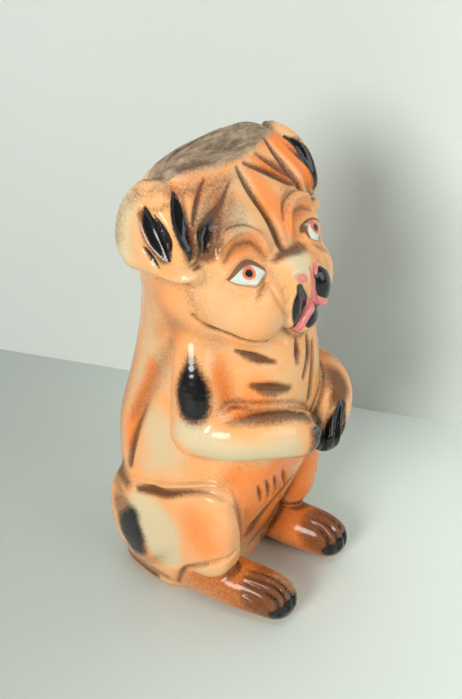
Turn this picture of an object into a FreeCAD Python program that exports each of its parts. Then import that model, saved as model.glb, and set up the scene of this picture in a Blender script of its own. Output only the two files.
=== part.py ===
import FreeCAD, Part
import math
import os
import Sketcher

# A chalkware dog that sits up and begs: a hollow plaster figure cast in two halves,
# bonded along the seam from inside, with a plaster plug in the mouth it was poured through.
# Millimetres. The dog looks along -Y, +Z is up and its left side is +X.
# "forward" sizes are measured from the upright axis of the body towards the face,
# "back" sizes from it towards the tail, and "out" sizes from the middle plane sideways.

SIZES = {
    # body, from the ground to where it ends inside the head
    "torso_height": 176, "torso_width": 84, "torso_front": 51, "torso_back": 48.5,
    # head, and how high the two slopes that face it cross the upright axis
    "head_base": 152, "head_height": 85, "head_width": 92, "head_front": 46, "head_back": 28,
    "forehead_top": 237, "crown_top": 239.5,
    # muzzle and the two nose lobes
    "muzzle_root": 28, "muzzle_reach": 53, "muzzle_width": 46, "muzzle_height": 35,
    "muzzle_middle": 173.5,
    "lobe_root": 42, "lobe_reach": 57, "lobe_out": 7, "lobe_width": 12, "lobe_height": 22,
    "lobe_middle": 173.5,
    # eyes and the brow over each
    "eye_root": 24, "eye_reach": 37.5, "eye_out": 25, "eye_width": 18, "eye_height": 11,
    "eye_middle": 191,
    "brow_inner": 9, "brow_outer": 36, "brow_forward": 32.5, "brow_fall_back": 5,
    "brow_depth": 8, "brow_height": 7, "brow_middle": 200, "brow_rise": 5,
    # folded ears
    "ear_root": 34, "ear_reach": 54.5, "ear_length": 44, "ear_depth": 43, "ear_forward": 4.5,
    "ear_middle": 208.5,
    # haunches
    "haunch_root": 20, "haunch_reach": 47.5, "haunch_depth": 84, "haunch_height": 76,
    "haunch_back": 3, "haunch_lean": 14,
    # hind feet and their toes
    "foot_root": 6, "foot_reach": 60, "foot_out": 29, "foot_turn_in": 2, "foot_width": 25,
    "foot_height": 26,
    "toe_root": 44, "toe_reach": 62.5, "toe_pitch": 5, "toe_width": 6, "toe_height": 17,
    # upper forelegs, forearms, paws and claws
    "arm_base": 98, "arm_height": 66, "arm_out": 38.5, "arm_lean_in": 8, "arm_forward": 18,
    "arm_width": 26, "arm_depth": 26,
    "forearm_root": 6, "forearm_reach": 61, "forearm_out": 39, "forearm_turn_in": 27,
    "forearm_width": 25, "forearm_height": 25, "forearm_middle": 109.5,
    "paw_base": 90, "paw_height": 26, "paw_out": 10, "paw_forward": 55, "paw_width": 19,
    "paw_depth": 17,
    "claw_base": 88, "claw_height": 19, "claw_pitch": 4.2, "claw_width": 5, "claw_depth": 10,
    "claw_forward": 58.5,
    # tail, along the ground on the right side
    "tail_back": 42, "tail_length": 47, "tail_out": 30, "tail_spread": 5, "tail_width": 14,
    "tail_height": 16,
    # hollow, pouring mouth and seam
    "core_back": 4, "core_radius": 32, "core_height": 222,
    "rebate_radius": 17, "rebate_depth": 4,
    "band_thickness": 2.5, "band_width": 18, "band_foot": 36,
    "plug_clearance": 0.3, "plug_recess": 0.5,
    # how far the forms go below the ground before the soles are cut flat
    "sole_trim": 1.2,
    # how far a cutter starts below the ground
    "overrun": 6,
    # how far a cutting block reaches past the figure
    "block_reach": 300,
}

# Sides of the rings that a form is lofted through, and how square the rings are: 2 is an oval
BODY_SIDES, LIMB_SIDES, SMALL_SIDES = 16, 10, 8
OVAL, FULL = 2.0, 2.4
TOE_COUNT = 4
# How far the flat forehead and the back of the crown lean from level, in degrees
FOREHEAD_TILT, CROWN_TILT = 49.6, -36.9

# Rise, width, front and back of the body, as shares of its sizes
TORSO_SHARES = [
    (0.00, 0.93, 0.34, 0.87), (0.08, 0.96, 0.39, 0.92), (0.22, 1.00, 0.60, 0.98),
    (0.33, 1.00, 0.74, 1.00), (0.43, 0.97, 0.86, 1.00), (0.62, 0.87, 0.99, 0.92),
    (0.74, 0.84, 1.00, 0.85), (0.90, 0.84, 0.88, 0.75), (1.00, 0.86, 0.70, 0.70),
]
# The same of the head, from under the jowls to the crown
HEAD_SHARES = [
    (0.00, 0.48, 0.86, 0.68), (0.09, 0.80, 0.95, 0.80), (0.20, 0.97, 1.00, 0.90),
    (0.33, 1.01, 0.97, 0.97), (0.45, 0.98, 0.80, 0.97), (0.62, 0.99, 0.68, 0.84),
    (0.80, 0.92, 0.60, 0.78), (0.92, 0.72, 0.50, 0.60), (0.985, 0.44, 0.34, 0.32),
]
# Along, width and height of the muzzle, of a nose lobe and of an eye
MUZZLE_SHARES = [(0.0, 1.00, 1.00), (0.45, 0.84, 0.92), (0.80, 0.62, 0.74), (1.0, 0.40, 0.46)]
LOBE_SHARES = [(0.0, 1.00, 1.00), (0.50, 1.00, 1.00), (0.85, 0.76, 0.76), (1.0, 0.40, 0.40)]
EYE_SHARES = [(0.0, 1.00, 1.00), (0.70, 0.94, 0.94), (1.0, 0.50, 0.52)]
# Along, fall back, rise, depth and height of a brow
BROW_SHARES = [
    (0.00, 0.00, 0.00, 0.60, 0.60), (0.35, 0.10, 0.90, 1.00, 1.00),
    (0.70, 0.45, 0.90, 1.00, 1.00), (1.00, 1.00, 0.10, 0.60, 0.60),
]
# Out and size of an ear
EAR_SHARES = [(0.0, 0.86), (0.55, 1.00), (0.85, 0.90), (1.0, 0.66)]
# Out and size of a haunch
HAUNCH_SHARES = [(0.0, 0.80), (0.30, 0.98), (0.60, 1.00), (0.85, 0.86), (1.0, 0.62)]
# Along, turn in, width and height of a hind foot
FOOT_SHARES = [
    (0.0, 0.0, 0.94, 1.00), (0.40, 0.4, 1.00, 1.00), (0.78, 0.8, 0.96, 0.84),
    (1.0, 1.0, 0.78, 0.62),
]
# Along, width and height of a toe
TOE_SHARES = [(0.0, 0.96, 1.00), (0.50, 1.00, 0.98), (0.85, 0.88, 0.72), (1.0, 0.50, 0.44)]
# Rise, lean in, swing back, width and depth of an upper foreleg
ARM_SHARES = [
    (0.00, 0.00, 0.00, 0.66, 0.66), (0.15, 0.00, 0.00, 0.96, 0.96),
    (0.40, 0.15, 0.02, 1.00, 1.00), (0.65, 0.45, 0.12, 0.92, 0.92), (1.00, 1.00, 0.33, 0.50, 0.50),
]
# Along, turn in, width and height of a forearm
FOREARM_SHARES = [
    (0.00, 0.00, 0.76, 0.76), (0.21, 0.00, 1.00, 1.00), (0.52, 0.18, 1.06, 1.00),
    (0.75, 0.60, 1.20, 0.98), (0.92, 0.94, 0.96, 0.86), (1.00, 1.00, 0.56, 0.60),
]
# Rise, width and depth of a paw, and of a claw
PAW_SHARES = [(0.00, 0.66, 0.70), (0.30, 0.90, 0.92), (0.65, 1.00, 1.00), (1.00, 0.86, 0.84)]
CLAW_SHARES = [(0.00, 0.44, 0.40), (0.20, 0.84, 0.84), (0.60, 1.00, 1.00), (1.00, 0.90, 0.80)]
# Along, spread, width and height of the tail
TAIL_SHARES = [
    (0.00, 0.00, 1.00, 1.00), (0.30, 0.55, 1.00, 0.94), (0.70, 0.95, 0.80, 0.74),
    (1.00, 0.95, 0.42, 0.52),
]
# Radius and height of the hollow, from below its mouth up
CORE_SHARES = [
    (0.42, -0.03), (0.42, 0.06), (0.70, 0.15), (0.94, 0.30), (0.95, 0.45), (0.86, 0.62),
    (0.62, 0.74), (0.50, 0.85), (0.42, 0.94), (0.20, 1.00),
]

doc = FreeCAD.newDocument("ChalkwareDog")


def fill_sheet():
    """The sheet of driving dimensions, one named cell each."""
    sheet = doc.addObject("Spreadsheet::Sheet", "Sizes")
    for row, (name, value) in enumerate(SIZES.items(), start=1):
        sheet.set(f"A{row}", name)
        sheet.set(f"B{row}", str(value))
        sheet.setAlias(f"B{row}", name)
    doc.recompute()


def size(name, share=1):
    """The expression for a share of a named size."""
    return f"Sizes.{name} * {share}"


def between(start, end, share):
    """The expression for a place a share of the way from one named size to another."""
    return f"Sizes.{start} + (Sizes.{end} - Sizes.{start}) * {share}"


def outline(body, plane, lift, points):
    """A closed sketch of straight sides through points given as expressions."""
    sketch = body.newObject("Sketcher::SketchObject", f"{body.Name}_ring")
    support = next(f for f in body.Origin.OriginFeatures if f.Role == plane)
    sketch.AttachmentSupport = [(support, "")]
    sketch.MapMode = "FlatFace"
    sketch.setExpression("AttachmentOffset.Base.z", lift)
    count = len(points)
    corners = []
    for i in range(count):
        turn = 2 * math.pi * i / count
        corners.append(FreeCAD.Vector(math.cos(turn), math.sin(turn), 0))
    sides = [Part.LineSegment(corners[i], corners[(i + 1) % count]) for i in range(count)]
    sketch.addGeometry(sides, False)
    joins = [Sketcher.Constraint("Coincident", i, 2, (i + 1) % count, 1) for i in range(count)]
    sketch.addConstraint(joins)
    places = []
    for i, corner in enumerate(corners):
        places.append(Sketcher.Constraint("DistanceX", -1, 1, i, 1, corner.x))
        places.append(Sketcher.Constraint("DistanceY", -1, 1, i, 1, corner.y))
    sketch.addConstraint(places)
    for i, (across, up) in enumerate(points):
        sketch.setExpression(f"Constraints[{count + 2 * i}]", across)
        sketch.setExpression(f"Constraints[{count + 2 * i + 1}]", up)
    return sketch


def ring(body, plane, row, sides, squareness, lean):
    """An oval or squarish ring: row is its lift, its two centre places and its two spans.

    The lean is how much lower the far end of its span across is than the near end.
    """
    lift, centre_across, centre_up, span_across, span_up = row
    points = []
    for i in range(sides):
        turn = 2 * math.pi * (i + 0.5) / sides
        across = math.copysign(abs(math.cos(turn)) ** (2 / squareness), math.cos(turn)) / 2
        up = math.copysign(abs(math.sin(turn)) ** (2 / squareness), math.sin(turn)) / 2
        points.append((f"{centre_across} + ({span_across}) * {across:.5f}",
                       f"{centre_up} + ({span_up}) * {up:.5f} - {lean} * {across:.5f}"))
    return outline(body, plane, lift, points)


def swell(name, plane, rows, sides, squareness=OVAL, lean="0"):
    """A swelling form, lofted through rings along the normal of a plane."""
    body = doc.addObject("PartDesign::Body", name)
    rings = [ring(body, plane, row, sides, squareness, lean) for row in rows]
    loft = body.newObject("PartDesign::AdditiveLoft", f"{name}_loft")
    loft.Profile = rings[0]
    loft.Sections = rings[1:]
    loft.Ruled = True
    return body


def hollow_form(name, inset):
    """The inside of the figure, less an inset all round: rings about the axis of the hollow."""
    rows = []
    for wide, rise in CORE_SHARES:
        span = f"({size('core_radius', wide)} - {inset}) * 2"
        lift = f"{size('core_height', rise)} - {inset}"
        rows.append((lift, "0", "Sizes.core_back", span, span))
    return swell(name, "XY_Plane", rows, SMALL_SIDES)


def disc(name, radius, height, foot):
    """An upright cylinder on the axis of the hollow."""
    cylinder = doc.addObject("Part::Cylinder", name)
    cylinder.setExpression("Radius", radius)
    cylinder.setExpression("Height", height)
    cylinder.setExpression("Placement.Base.y", "Sizes.core_back")
    cylinder.setExpression("Placement.Base.z", foot)
    return cylinder


def row_of(body, pitch, count):
    """Repeats the last feature of a body along +X."""
    pattern = body.newObject("PartDesign::LinearPattern", f"{body.Name}_row")
    pattern.Originals = [body.Tip]
    axis = next(f for f in body.Origin.OriginFeatures if f.Role == "X_Axis")
    pattern.Direction = (axis, [""])
    pattern.setExpression("Length", f"Sizes.{pitch} * {count - 1}")
    pattern.Occurrences = count
    body.Tip = pattern
    return body


def other_side(source):
    """The mirror image of a form in the middle plane."""
    mirror = doc.addObject("Part::Mirroring", f"{source.Name}_right")
    mirror.Source = source
    mirror.Normal = FreeCAD.Vector(1, 0, 0)
    return mirror


def pair(source):
    return [source, other_side(source)]


def upright_form(name, shares, base, height, sizes):
    """A form of rising rings with its own front and back: the body and the head."""
    width, front, back = sizes
    rows = []
    for rise, wide, fore, aft in shares:
        fore_reach, back_reach = size(front, fore), size(back, aft)
        rows.append((
            f"{base} + {size(height, rise)}", "0", f"({back_reach} - {fore_reach}) / 2",
            size(width, wide), f"{back_reach} + {fore_reach}",
        ))
    return swell(name, "XY_Plane", rows, BODY_SIDES, FULL)


def torso():
    return upright_form("torso", TORSO_SHARES, "-Sizes.sole_trim", "torso_height",
                        ("torso_width", "torso_front", "torso_back"))


def head():
    return upright_form("head", HEAD_SHARES, "Sizes.head_base", "head_height",
                        ("head_width", "head_front", "head_back"))


def muzzle():
    rows = [(between("muzzle_root", "muzzle_reach", along), "0", "Sizes.muzzle_middle",
             size("muzzle_width", wide), size("muzzle_height", tall))
            for along, wide, tall in MUZZLE_SHARES]
    return swell("muzzle", "XZ_Plane", rows, BODY_SIDES)


def nose_lobe():
    rows = [(between("lobe_root", "lobe_reach", along), "Sizes.lobe_out", "Sizes.lobe_middle",
             size("lobe_width", wide), size("lobe_height", tall))
            for along, wide, tall in LOBE_SHARES]
    return swell("nose_lobe", "XZ_Plane", rows, SMALL_SIDES)


def eye():
    rows = [(between("eye_root", "eye_reach", along), "Sizes.eye_out", "Sizes.eye_middle",
             size("eye_width", wide), size("eye_height", tall))
            for along, wide, tall in EYE_SHARES]
    return swell("eye", "XZ_Plane", rows, LIMB_SIDES)


def brow():
    rows = [(between("brow_inner", "brow_outer", along),
             f"{size('brow_fall_back', fall)} - Sizes.brow_forward",
             f"Sizes.brow_middle + {size('brow_rise', rise)}",
             size("brow_depth", deep), size("brow_height", tall))
            for along, fall, rise, deep, tall in BROW_SHARES]
    return swell("brow", "YZ_Plane", rows, SMALL_SIDES)


def ear():
    rows = [(between("ear_root", "ear_reach", out), "-Sizes.ear_forward", "Sizes.ear_middle",
             size("ear_depth", wide), size("ear_length", wide))
            for out, wide in EAR_SHARES]
    return swell("ear", "YZ_Plane", rows, LIMB_SIDES, FULL)


def haunch():
    rows = [(between("haunch_root", "haunch_reach", out), "Sizes.haunch_back",
             "Sizes.haunch_height / 2 - Sizes.sole_trim",
             size("haunch_depth", wide), size("haunch_height", wide))
            for out, wide in HAUNCH_SHARES]
    return swell("haunch", "YZ_Plane", rows, BODY_SIDES, FULL, "Sizes.haunch_lean")


def hind_foot():
    rows = [(between("foot_root", "foot_reach", along),
             f"Sizes.foot_out - {size('foot_turn_in', turn)}",
             f"{size('foot_height', tall)} / 2 - Sizes.sole_trim",
             size("foot_width", wide), size("foot_height", tall))
            for along, turn, wide, tall in FOOT_SHARES]
    return swell("hind_foot", "XZ_Plane", rows, LIMB_SIDES, FULL)


def hind_toes():
    first = f"Sizes.foot_out - Sizes.foot_turn_in - {size('toe_pitch', (TOE_COUNT - 1) / 2)}"
    rows = [(between("toe_root", "toe_reach", along), first,
             f"{size('toe_height', tall)} / 2 - Sizes.sole_trim",
             size("toe_width", wide), size("toe_height", tall))
            for along, wide, tall in TOE_SHARES]
    toe = swell("hind_toes", "XZ_Plane", rows, SMALL_SIDES)
    return row_of(toe, "toe_pitch", TOE_COUNT)


def upper_foreleg():
    rows = [(f"Sizes.arm_base + {size('arm_height', rise)}",
             f"Sizes.arm_out - {size('arm_lean_in', lean)}",
             f"{size('arm_forward', swing)} - Sizes.arm_forward",
             size("arm_width", wide), size("arm_depth", deep))
            for rise, lean, swing, wide, deep in ARM_SHARES]
    return swell("upper_foreleg", "XY_Plane", rows, LIMB_SIDES)


def forearm():
    rows = [(between("forearm_root", "forearm_reach", along),
             f"Sizes.forearm_out - {size('forearm_turn_in', turn)}", "Sizes.forearm_middle",
             size("forearm_width", wide), size("forearm_height", tall))
            for along, turn, wide, tall in FOREARM_SHARES]
    return swell("forearm", "XZ_Plane", rows, LIMB_SIDES)


def paw():
    rows = [(f"Sizes.paw_base + {size('paw_height', rise)}", "Sizes.paw_out",
             "-Sizes.paw_forward", size("paw_width", wide), size("paw_depth", deep))
            for rise, wide, deep in PAW_SHARES]
    return swell("paw", "XY_Plane", rows, LIMB_SIDES)


def claws():
    first = f"Sizes.paw_out - {size('claw_pitch', (TOE_COUNT - 1) / 2)}"
    rows = [(f"Sizes.claw_base + {size('claw_height', rise)}", first, "-Sizes.claw_forward",
             size("claw_width", wide), size("claw_depth", deep))
            for rise, wide, deep in CLAW_SHARES]
    claw = swell("claws", "XY_Plane", rows, SMALL_SIDES)
    return row_of(claw, "claw_pitch", TOE_COUNT)


def tail():
    rows = [(f"{size('tail_length', along)} - Sizes.tail_back",
             f"-Sizes.tail_out - {size('tail_spread', spread)}",
             f"{size('tail_height', tall)} / 2 - Sizes.sole_trim",
             size("tail_width", wide), size("tail_height", tall))
            for along, spread, wide, tall in TAIL_SHARES]
    return swell("tail", "XZ_Plane", rows, SMALL_SIDES)


def block(name, start, depth, foot="0"):
    """A cutting block across the whole figure, from a place along Y and a foot upwards."""
    box = doc.addObject("Part::Box", name)
    box.setExpression("Length", "Sizes.block_reach * 2")
    box.setExpression("Width", depth)
    box.setExpression("Height", "Sizes.block_reach")
    box.setExpression("Placement.Base.x", "-Sizes.block_reach")
    box.setExpression("Placement.Base.y", start)
    box.setExpression("Placement.Base.z", foot)
    return box


def slope(name, tilt, height):
    """A cutting block over a slope across the head, which meets the upright axis at a height."""
    box = doc.addObject("Part::Box", name)
    box.Placement.Rotation = FreeCAD.Rotation(FreeCAD.Vector(1, 0, 0), tilt)
    box.setExpression("Length", "Sizes.block_reach * 2")
    box.setExpression("Width", "Sizes.block_reach * 2")
    box.setExpression("Height", "Sizes.block_reach")
    box.setExpression("Placement.Base.x", "-Sizes.block_reach")
    box.setExpression("Placement.Base.y", f"-Sizes.block_reach * cos({tilt} deg)")
    box.setExpression("Placement.Base.z", f"Sizes.{height} - Sizes.block_reach * sin({tilt} deg)")
    return box


def boolean(kind, name, base, tool):
    result = doc.addObject(f"Part::{kind}", name)
    result.Base = base
    result.Tool = tool
    return result


def skull():
    """The head with its ears, faced by the flat forehead and the slope behind the crown."""
    swelling = doc.addObject("Part::MultiFuse", "head_and_ears")
    swelling.Shapes = [head(), *pair(ear())]
    faced = boolean("Cut", "faced_head", swelling,
                    slope("forehead_slope", FOREHEAD_TILT, "forehead_top"))
    return boolean("Cut", "skull", faced, slope("crown_slope", CROWN_TILT, "crown_top"))


def figure():
    """The outside of the figure: all its swelling forms as one."""
    forms = [torso(), skull(), muzzle(), tail()]
    for make in (nose_lobe, eye, brow, haunch, hind_foot, hind_toes, upper_foreleg,
                 forearm, paw, claws):
        forms += pair(make())
    fused = doc.addObject("Part::MultiFuse", "figure")
    fused.Shapes = forms
    return fused


def opening():
    """The hollow, down to the mouth it was poured through, and the rebate round the mouth."""
    joined = doc.addObject("Part::MultiFuse", "opening")
    joined.Shapes = [
        hollow_form("core", "0"),
        disc("rebate", "Sizes.rebate_radius", "Sizes.rebate_depth + Sizes.overrun",
             "-Sizes.overrun"),
    ]
    return joined


def base_plug():
    """A plaster disc that seats up against the ledge of the rebate."""
    return disc("base_plug", "Sizes.rebate_radius - Sizes.plug_clearance",
                "Sizes.rebate_depth - Sizes.plug_recess", "Sizes.plug_recess")


def seam_band():
    """A strip on the wall of the hollow, across the parting of the two castings."""
    lining = boolean("Cut", "lining", doc.getObject("core"),
                     hollow_form("band_inside", "Sizes.band_thickness"))
    strip = block("band_block", "Sizes.core_back - Sizes.band_width / 2", "Sizes.band_width",
                  "Sizes.band_foot")
    return boolean("Common", "seam_band", lining, strip)


def pieces():
    """The separate pieces, each under the name of its node."""
    shell = boolean("Cut", "shell", figure(), opening())
    front_block = block("front_block", "Sizes.core_back - Sizes.block_reach", "Sizes.block_reach")
    back_block = block("back_block", "Sizes.core_back", "Sizes.block_reach")
    return [
        boolean("Common", "front_casting", shell, front_block),
        boolean("Common", "back_casting", shell, back_block),
        seam_band(),
        base_plug(),
    ]


def centre(nodes):
    """Brings the middle of the figure, from its paws to its back, over the origin."""
    middle = "(Sizes.paw_forward + Sizes.paw_depth / 2 - Sizes.torso_back) / 2"
    for node in nodes:
        place = f"Sizes.core_back + {middle}" if node.Label == "base_plug" else middle
        node.setExpression("Placement.Base.y", place)


def check(nodes):
    """Stops if an object failed or a piece isn't one valid solid."""
    for item in doc.Objects:
        if "Invalid" in item.State or "Error" in item.State:
            raise RuntimeError(f"{item.Label} failed")
    for node in nodes:
        shape = node.Shape
        if shape.isNull() or not shape.isValid() or len(shape.Solids) != 1:
            raise RuntimeError(f"{node.Label} isn't one valid solid")
        box = shape.optimalBoundingBox(False, False)
        print(f"{node.Label}: {shape.Volume / 1000:.1f} cm3, x {box.XMin:.1f} to {box.XMax:.1f},"
              f" y {box.YMin:.1f} to {box.YMax:.1f}, z {box.ZMin:.1f} to {box.ZMax:.1f}")


fill_sheet()
nodes = pieces()
centre(nodes)
doc.recompute()
check(nodes)
os.makedirs("parts", exist_ok=True)
for node in nodes:
    node.Shape.exportStep(f"parts/{node.Label}.step")
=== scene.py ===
"""Chalkware dog that sits up and begs.

Its modelled, painted and varnished surface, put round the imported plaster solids.
"""
import functools
import math

import bmesh
import bpy
import numpy as np
from mathutils import Matrix, Vector


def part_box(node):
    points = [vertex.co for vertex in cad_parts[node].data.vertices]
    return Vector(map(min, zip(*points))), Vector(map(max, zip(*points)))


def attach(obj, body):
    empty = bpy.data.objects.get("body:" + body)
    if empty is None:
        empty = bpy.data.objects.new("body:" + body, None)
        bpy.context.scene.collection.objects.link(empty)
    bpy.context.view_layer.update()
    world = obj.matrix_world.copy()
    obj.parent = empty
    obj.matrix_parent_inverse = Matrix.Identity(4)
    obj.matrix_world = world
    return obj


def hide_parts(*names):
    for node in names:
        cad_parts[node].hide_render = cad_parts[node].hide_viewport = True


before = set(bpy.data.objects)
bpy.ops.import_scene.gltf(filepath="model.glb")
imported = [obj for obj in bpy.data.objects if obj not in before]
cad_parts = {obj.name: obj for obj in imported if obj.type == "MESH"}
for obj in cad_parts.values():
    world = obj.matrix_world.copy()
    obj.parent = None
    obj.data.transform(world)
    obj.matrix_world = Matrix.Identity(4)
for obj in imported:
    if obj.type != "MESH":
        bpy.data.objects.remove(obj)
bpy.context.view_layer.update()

bl_info = {
    "name": "Chalkware begging dog",
    "version": (1, 0, 0),
    "blender": (4, 5, 0),
    "location": "3D View > Sidebar > Chalk dog",
    "description": "Models a hollow-cast plaster dog, paints it with an airbrush and varnishes it",
    "category": "Object",
}

MM = 0.001
BODY = "root"
REAL = np.float32
FIGURE_SHIFT = 7.5  # the figure's own axis lies this far behind the origin, in mm


# Settings

class ClaySettings(bpy.types.PropertyGroup):
    """How finely the figure is modelled."""

    grain: bpy.props.FloatProperty(
        name="Grain", description="Size of one cell of the clay", default=0.00092, min=0.0005,
        unit="LENGTH")
    seam: bpy.props.FloatProperty(
        name="Seam", description="Where front and back casting meet, from the origin backwards",
        default=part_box("back_casting")[0].y, unit="LENGTH")
    beads: bpy.props.FloatProperty(
        name="Beads", description="Cast-on beads per square metre, where air lay in the mould",
        default=5000.0, min=0.0)
    smallest_bead: bpy.props.FloatProperty(
        name="Smallest bead", description="Radius of the smallest bead", default=0.0002, min=0.0,
        unit="LENGTH")
    largest_bead: bpy.props.FloatProperty(
        name="Largest bead", description="Radius of the largest bead", default=0.0005, min=0.0,
        unit="LENGTH")
    seed: bpy.props.IntProperty(name="Seed", description="Start of the scatter of the beads", default=7)


def colour(label, text, value):
    return bpy.props.FloatVectorProperty(
        name=label, description=text, subtype="COLOR", size=4, default=(*value, 1.0), min=0.0, max=1.0)


class PaintSettings(bpy.types.PropertyGroup):
    """The colours of the airbrush and the brush, and the varnish over them."""

    tan: colour("Tan", "Ground colour, sprayed all over", (0.80, 0.38, 0.145))
    cream: colour("Cream", "Bare-looking pale areas on flank, haunch and ear", (0.61, 0.49, 0.30))
    orange: colour("Orange", "Warm spray on knees, belly and ridges", (0.82, 0.21, 0.032))
    # Brown also carries painted shade in hollows and painted shadow lines, such as under the ears
    brown: colour("Brown", "Thin dark spray in the folds", (0.1, 0.035, 0.013))
    black: colour("Black", "Spots, claws and ear folds", (0.006, 0.005, 0.006))
    crown: colour("Crown", "Grey-brown hair on top of the head", (0.235, 0.17, 0.115))
    pink: colour("Pink", "Lip line and nostrils", (0.66, 0.20, 0.19))
    eye_white: colour("Eye white", "The white of the eyes", (0.62, 0.66, 0.58))
    iris: colour("Iris", "Ring round the pupil", (0.72, 0.16, 0.06))
    plaster: colour("Plaster", "Bare plaster inside and under the foot", (0.72, 0.69, 0.62))
    varnish_gloss: bpy.props.FloatProperty(
        name="Varnish roughness", description="Roughness of the varnished paint", default=0.27, min=0.0,
        max=1.0, subtype="FACTOR")


class StageSettings(bpy.types.PropertyGroup):
    """Floor, wall and lamps."""

    floor: colour("Floor", "Colour of the floor", (0.40, 0.44, 0.41))
    wall: colour("Wall", "Colour of the wall", (0.56, 0.60, 0.57))
    key: bpy.props.FloatProperty(
        name="Key lamp", description="Power of the lamp on the left", default=17.0, min=0.0, unit="POWER")
    fill: bpy.props.FloatProperty(
        name="Fill lamp", description="Power of the lamp on the right", default=5.0, min=0.0, unit="POWER")
    overhead: bpy.props.FloatProperty(
        name="Top lamp", description="Power of the lamp overhead", default=5.0, min=0.0, unit="POWER")
    surround: bpy.props.FloatProperty(
        name="Surround", description="Strength of the light from the room", default=0.16, min=0.0)


# Steps between two rows of a limb, of an upright form and of a stroke
LIMB_STEPS, COLUMN_STEPS, STROKE_STEPS = 6, 12, 5


# Clay: forms in millimetres on the figure's own axis, its face towards -Y and its left paw towards +X

class Clay:
    """A block of distances to the surface, on which forms are pressed together."""

    FAR, MARGIN = 12.0, 3

    def __init__(self, low, high, step):
        self.low = np.array(low, REAL)
        self.step = REAL(step)
        count = np.ceil((np.array(high) - np.array(low)) / step).astype(int) + 1
        self.axes = [self.low[i] + self.step * np.arange(count[i], dtype=REAL) for i in range(3)]
        self.field = np.full(count, self.FAR, REAL)

    def window(self, low, high):
        """The slices of the block between two corners, and the coordinates along them."""
        cut = []
        for i in range(3):
            first = max(int(np.floor((low[i] - self.low[i]) / self.step)), 0)
            last = min(int(np.ceil((high[i] - self.low[i]) / self.step)) + 1, self.field.shape[i])
            cut.append(slice(first, max(last, first)))
        shapes = ((-1, 1, 1), (1, -1, 1), (1, 1, -1))
        return tuple(cut), [self.axes[i][cut[i]].reshape(shapes[i]) for i in range(3)]

    def add(self, form, blend, sign=1):
        """Presses a form on, and smooths the join over the width of blend."""
        distance, low, high = form
        cut, grid = self.window(low - blend - self.MARGIN, high + blend + self.MARGIN)
        new, old = distance(*grid), sign * self.field[cut]
        soft = np.maximum(blend - np.abs(old - new), 0) / blend
        self.field[cut] = sign * (np.minimum(old, new) - soft * soft * REAL(blend / 4))

    def cut(self, form, blend):
        """Cuts a form out."""
        self.add(form, blend, -1)

    def pair(self, form, blend):
        """Presses a form on at the right side, and its mirror image at the left."""
        self.add(form, blend)
        self.add(mirrored(form), blend)


def turned(x=0, y=0, z=0):
    """A rotation matrix from three angles in degrees."""
    x, y, z = np.radians([x, y, z])
    about_x = np.array([[1, 0, 0], [0, np.cos(x), -np.sin(x)], [0, np.sin(x), np.cos(x)]])
    about_y = np.array([[np.cos(y), 0, np.sin(y)], [0, 1, 0], [-np.sin(y), 0, np.cos(y)]])
    about_z = np.array([[np.cos(z), -np.sin(z), 0], [np.sin(z), np.cos(z), 0], [0, 0, 1]])
    return (about_z @ about_y @ about_x).astype(REAL)


def egg(centre, radii, turn=None, power=2.0):
    """An ellipsoid, or a squarer egg where power is above 2."""
    c, r = np.array(centre, REAL), np.array(radii, REAL)
    m = turned() if turn is None else turn
    extent = (np.abs(m) * r).sum(1)

    def distance(x, y, z):
        x, y, z = x - c[0], y - c[1], z - c[2]
        a, b, d = [np.abs(m[0, i] * x + m[1, i] * y + m[2, i] * z) / r[i] for i in range(3)]
        if power > 2:
            size = (a ** power + b ** power + d ** power) ** REAL(1 / power) + REAL(1e-6)
            return np.sqrt(x * x + y * y + z * z) * (1 - 1 / size)
        size = np.sqrt(a * a + b * b + d * d)
        steep = np.sqrt((a / r[0]) ** 2 + (b / r[1]) ** 2 + (d / r[2]) ** 2) + REAL(1e-9)
        return size * (size - 1) / steep

    return distance, c - extent, c + extent


def curve(rows, steps=LIMB_STEPS):
    """A smooth line through rows of any width, with each column interpolated."""
    rows = np.array(rows, float)
    if len(rows) < 3:
        return rows
    ends = np.vstack([2 * rows[0] - rows[1], rows, 2 * rows[-1] - rows[-2]])
    made = []
    for a, b, c, d in zip(ends, ends[1:], ends[2:], ends[3:]):
        for t in np.linspace(0, 1, steps, endpoint=False):
            made.append(0.5 * (2 * b + (c - a) * t + (2 * a - 5 * b + 4 * c - d) * t ** 2
                               + (3 * b - a - 3 * c + d) * t ** 3))
    return np.array([*made, rows[-1]])


def limb(rows):
    """A round form along a smooth line of rows x, y, z, radius."""
    line = curve(rows).astype(REAL)
    low = (line[:, :3] - line[:, 3:]).min(0)
    high = (line[:, :3] + line[:, 3:]).max(0)

    def distance(x, y, z):
        nearest = None
        for a, b in zip(line, line[1:]):
            run = b - a
            dx, dy, dz = x - a[0], y - a[1], z - a[2]
            t = np.clip((dx * run[0] + dy * run[1] + dz * run[2]) / (run[:3] @ run[:3]), 0, 1)
            dx, dy, dz = dx - t * run[0], dy - t * run[1], dz - t * run[2]
            found = np.sqrt(dx * dx + dy * dy + dz * dz) - (a[3] + run[3] * t)
            nearest = found if nearest is None else np.minimum(nearest, found)
        return nearest

    return distance, low, high


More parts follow.
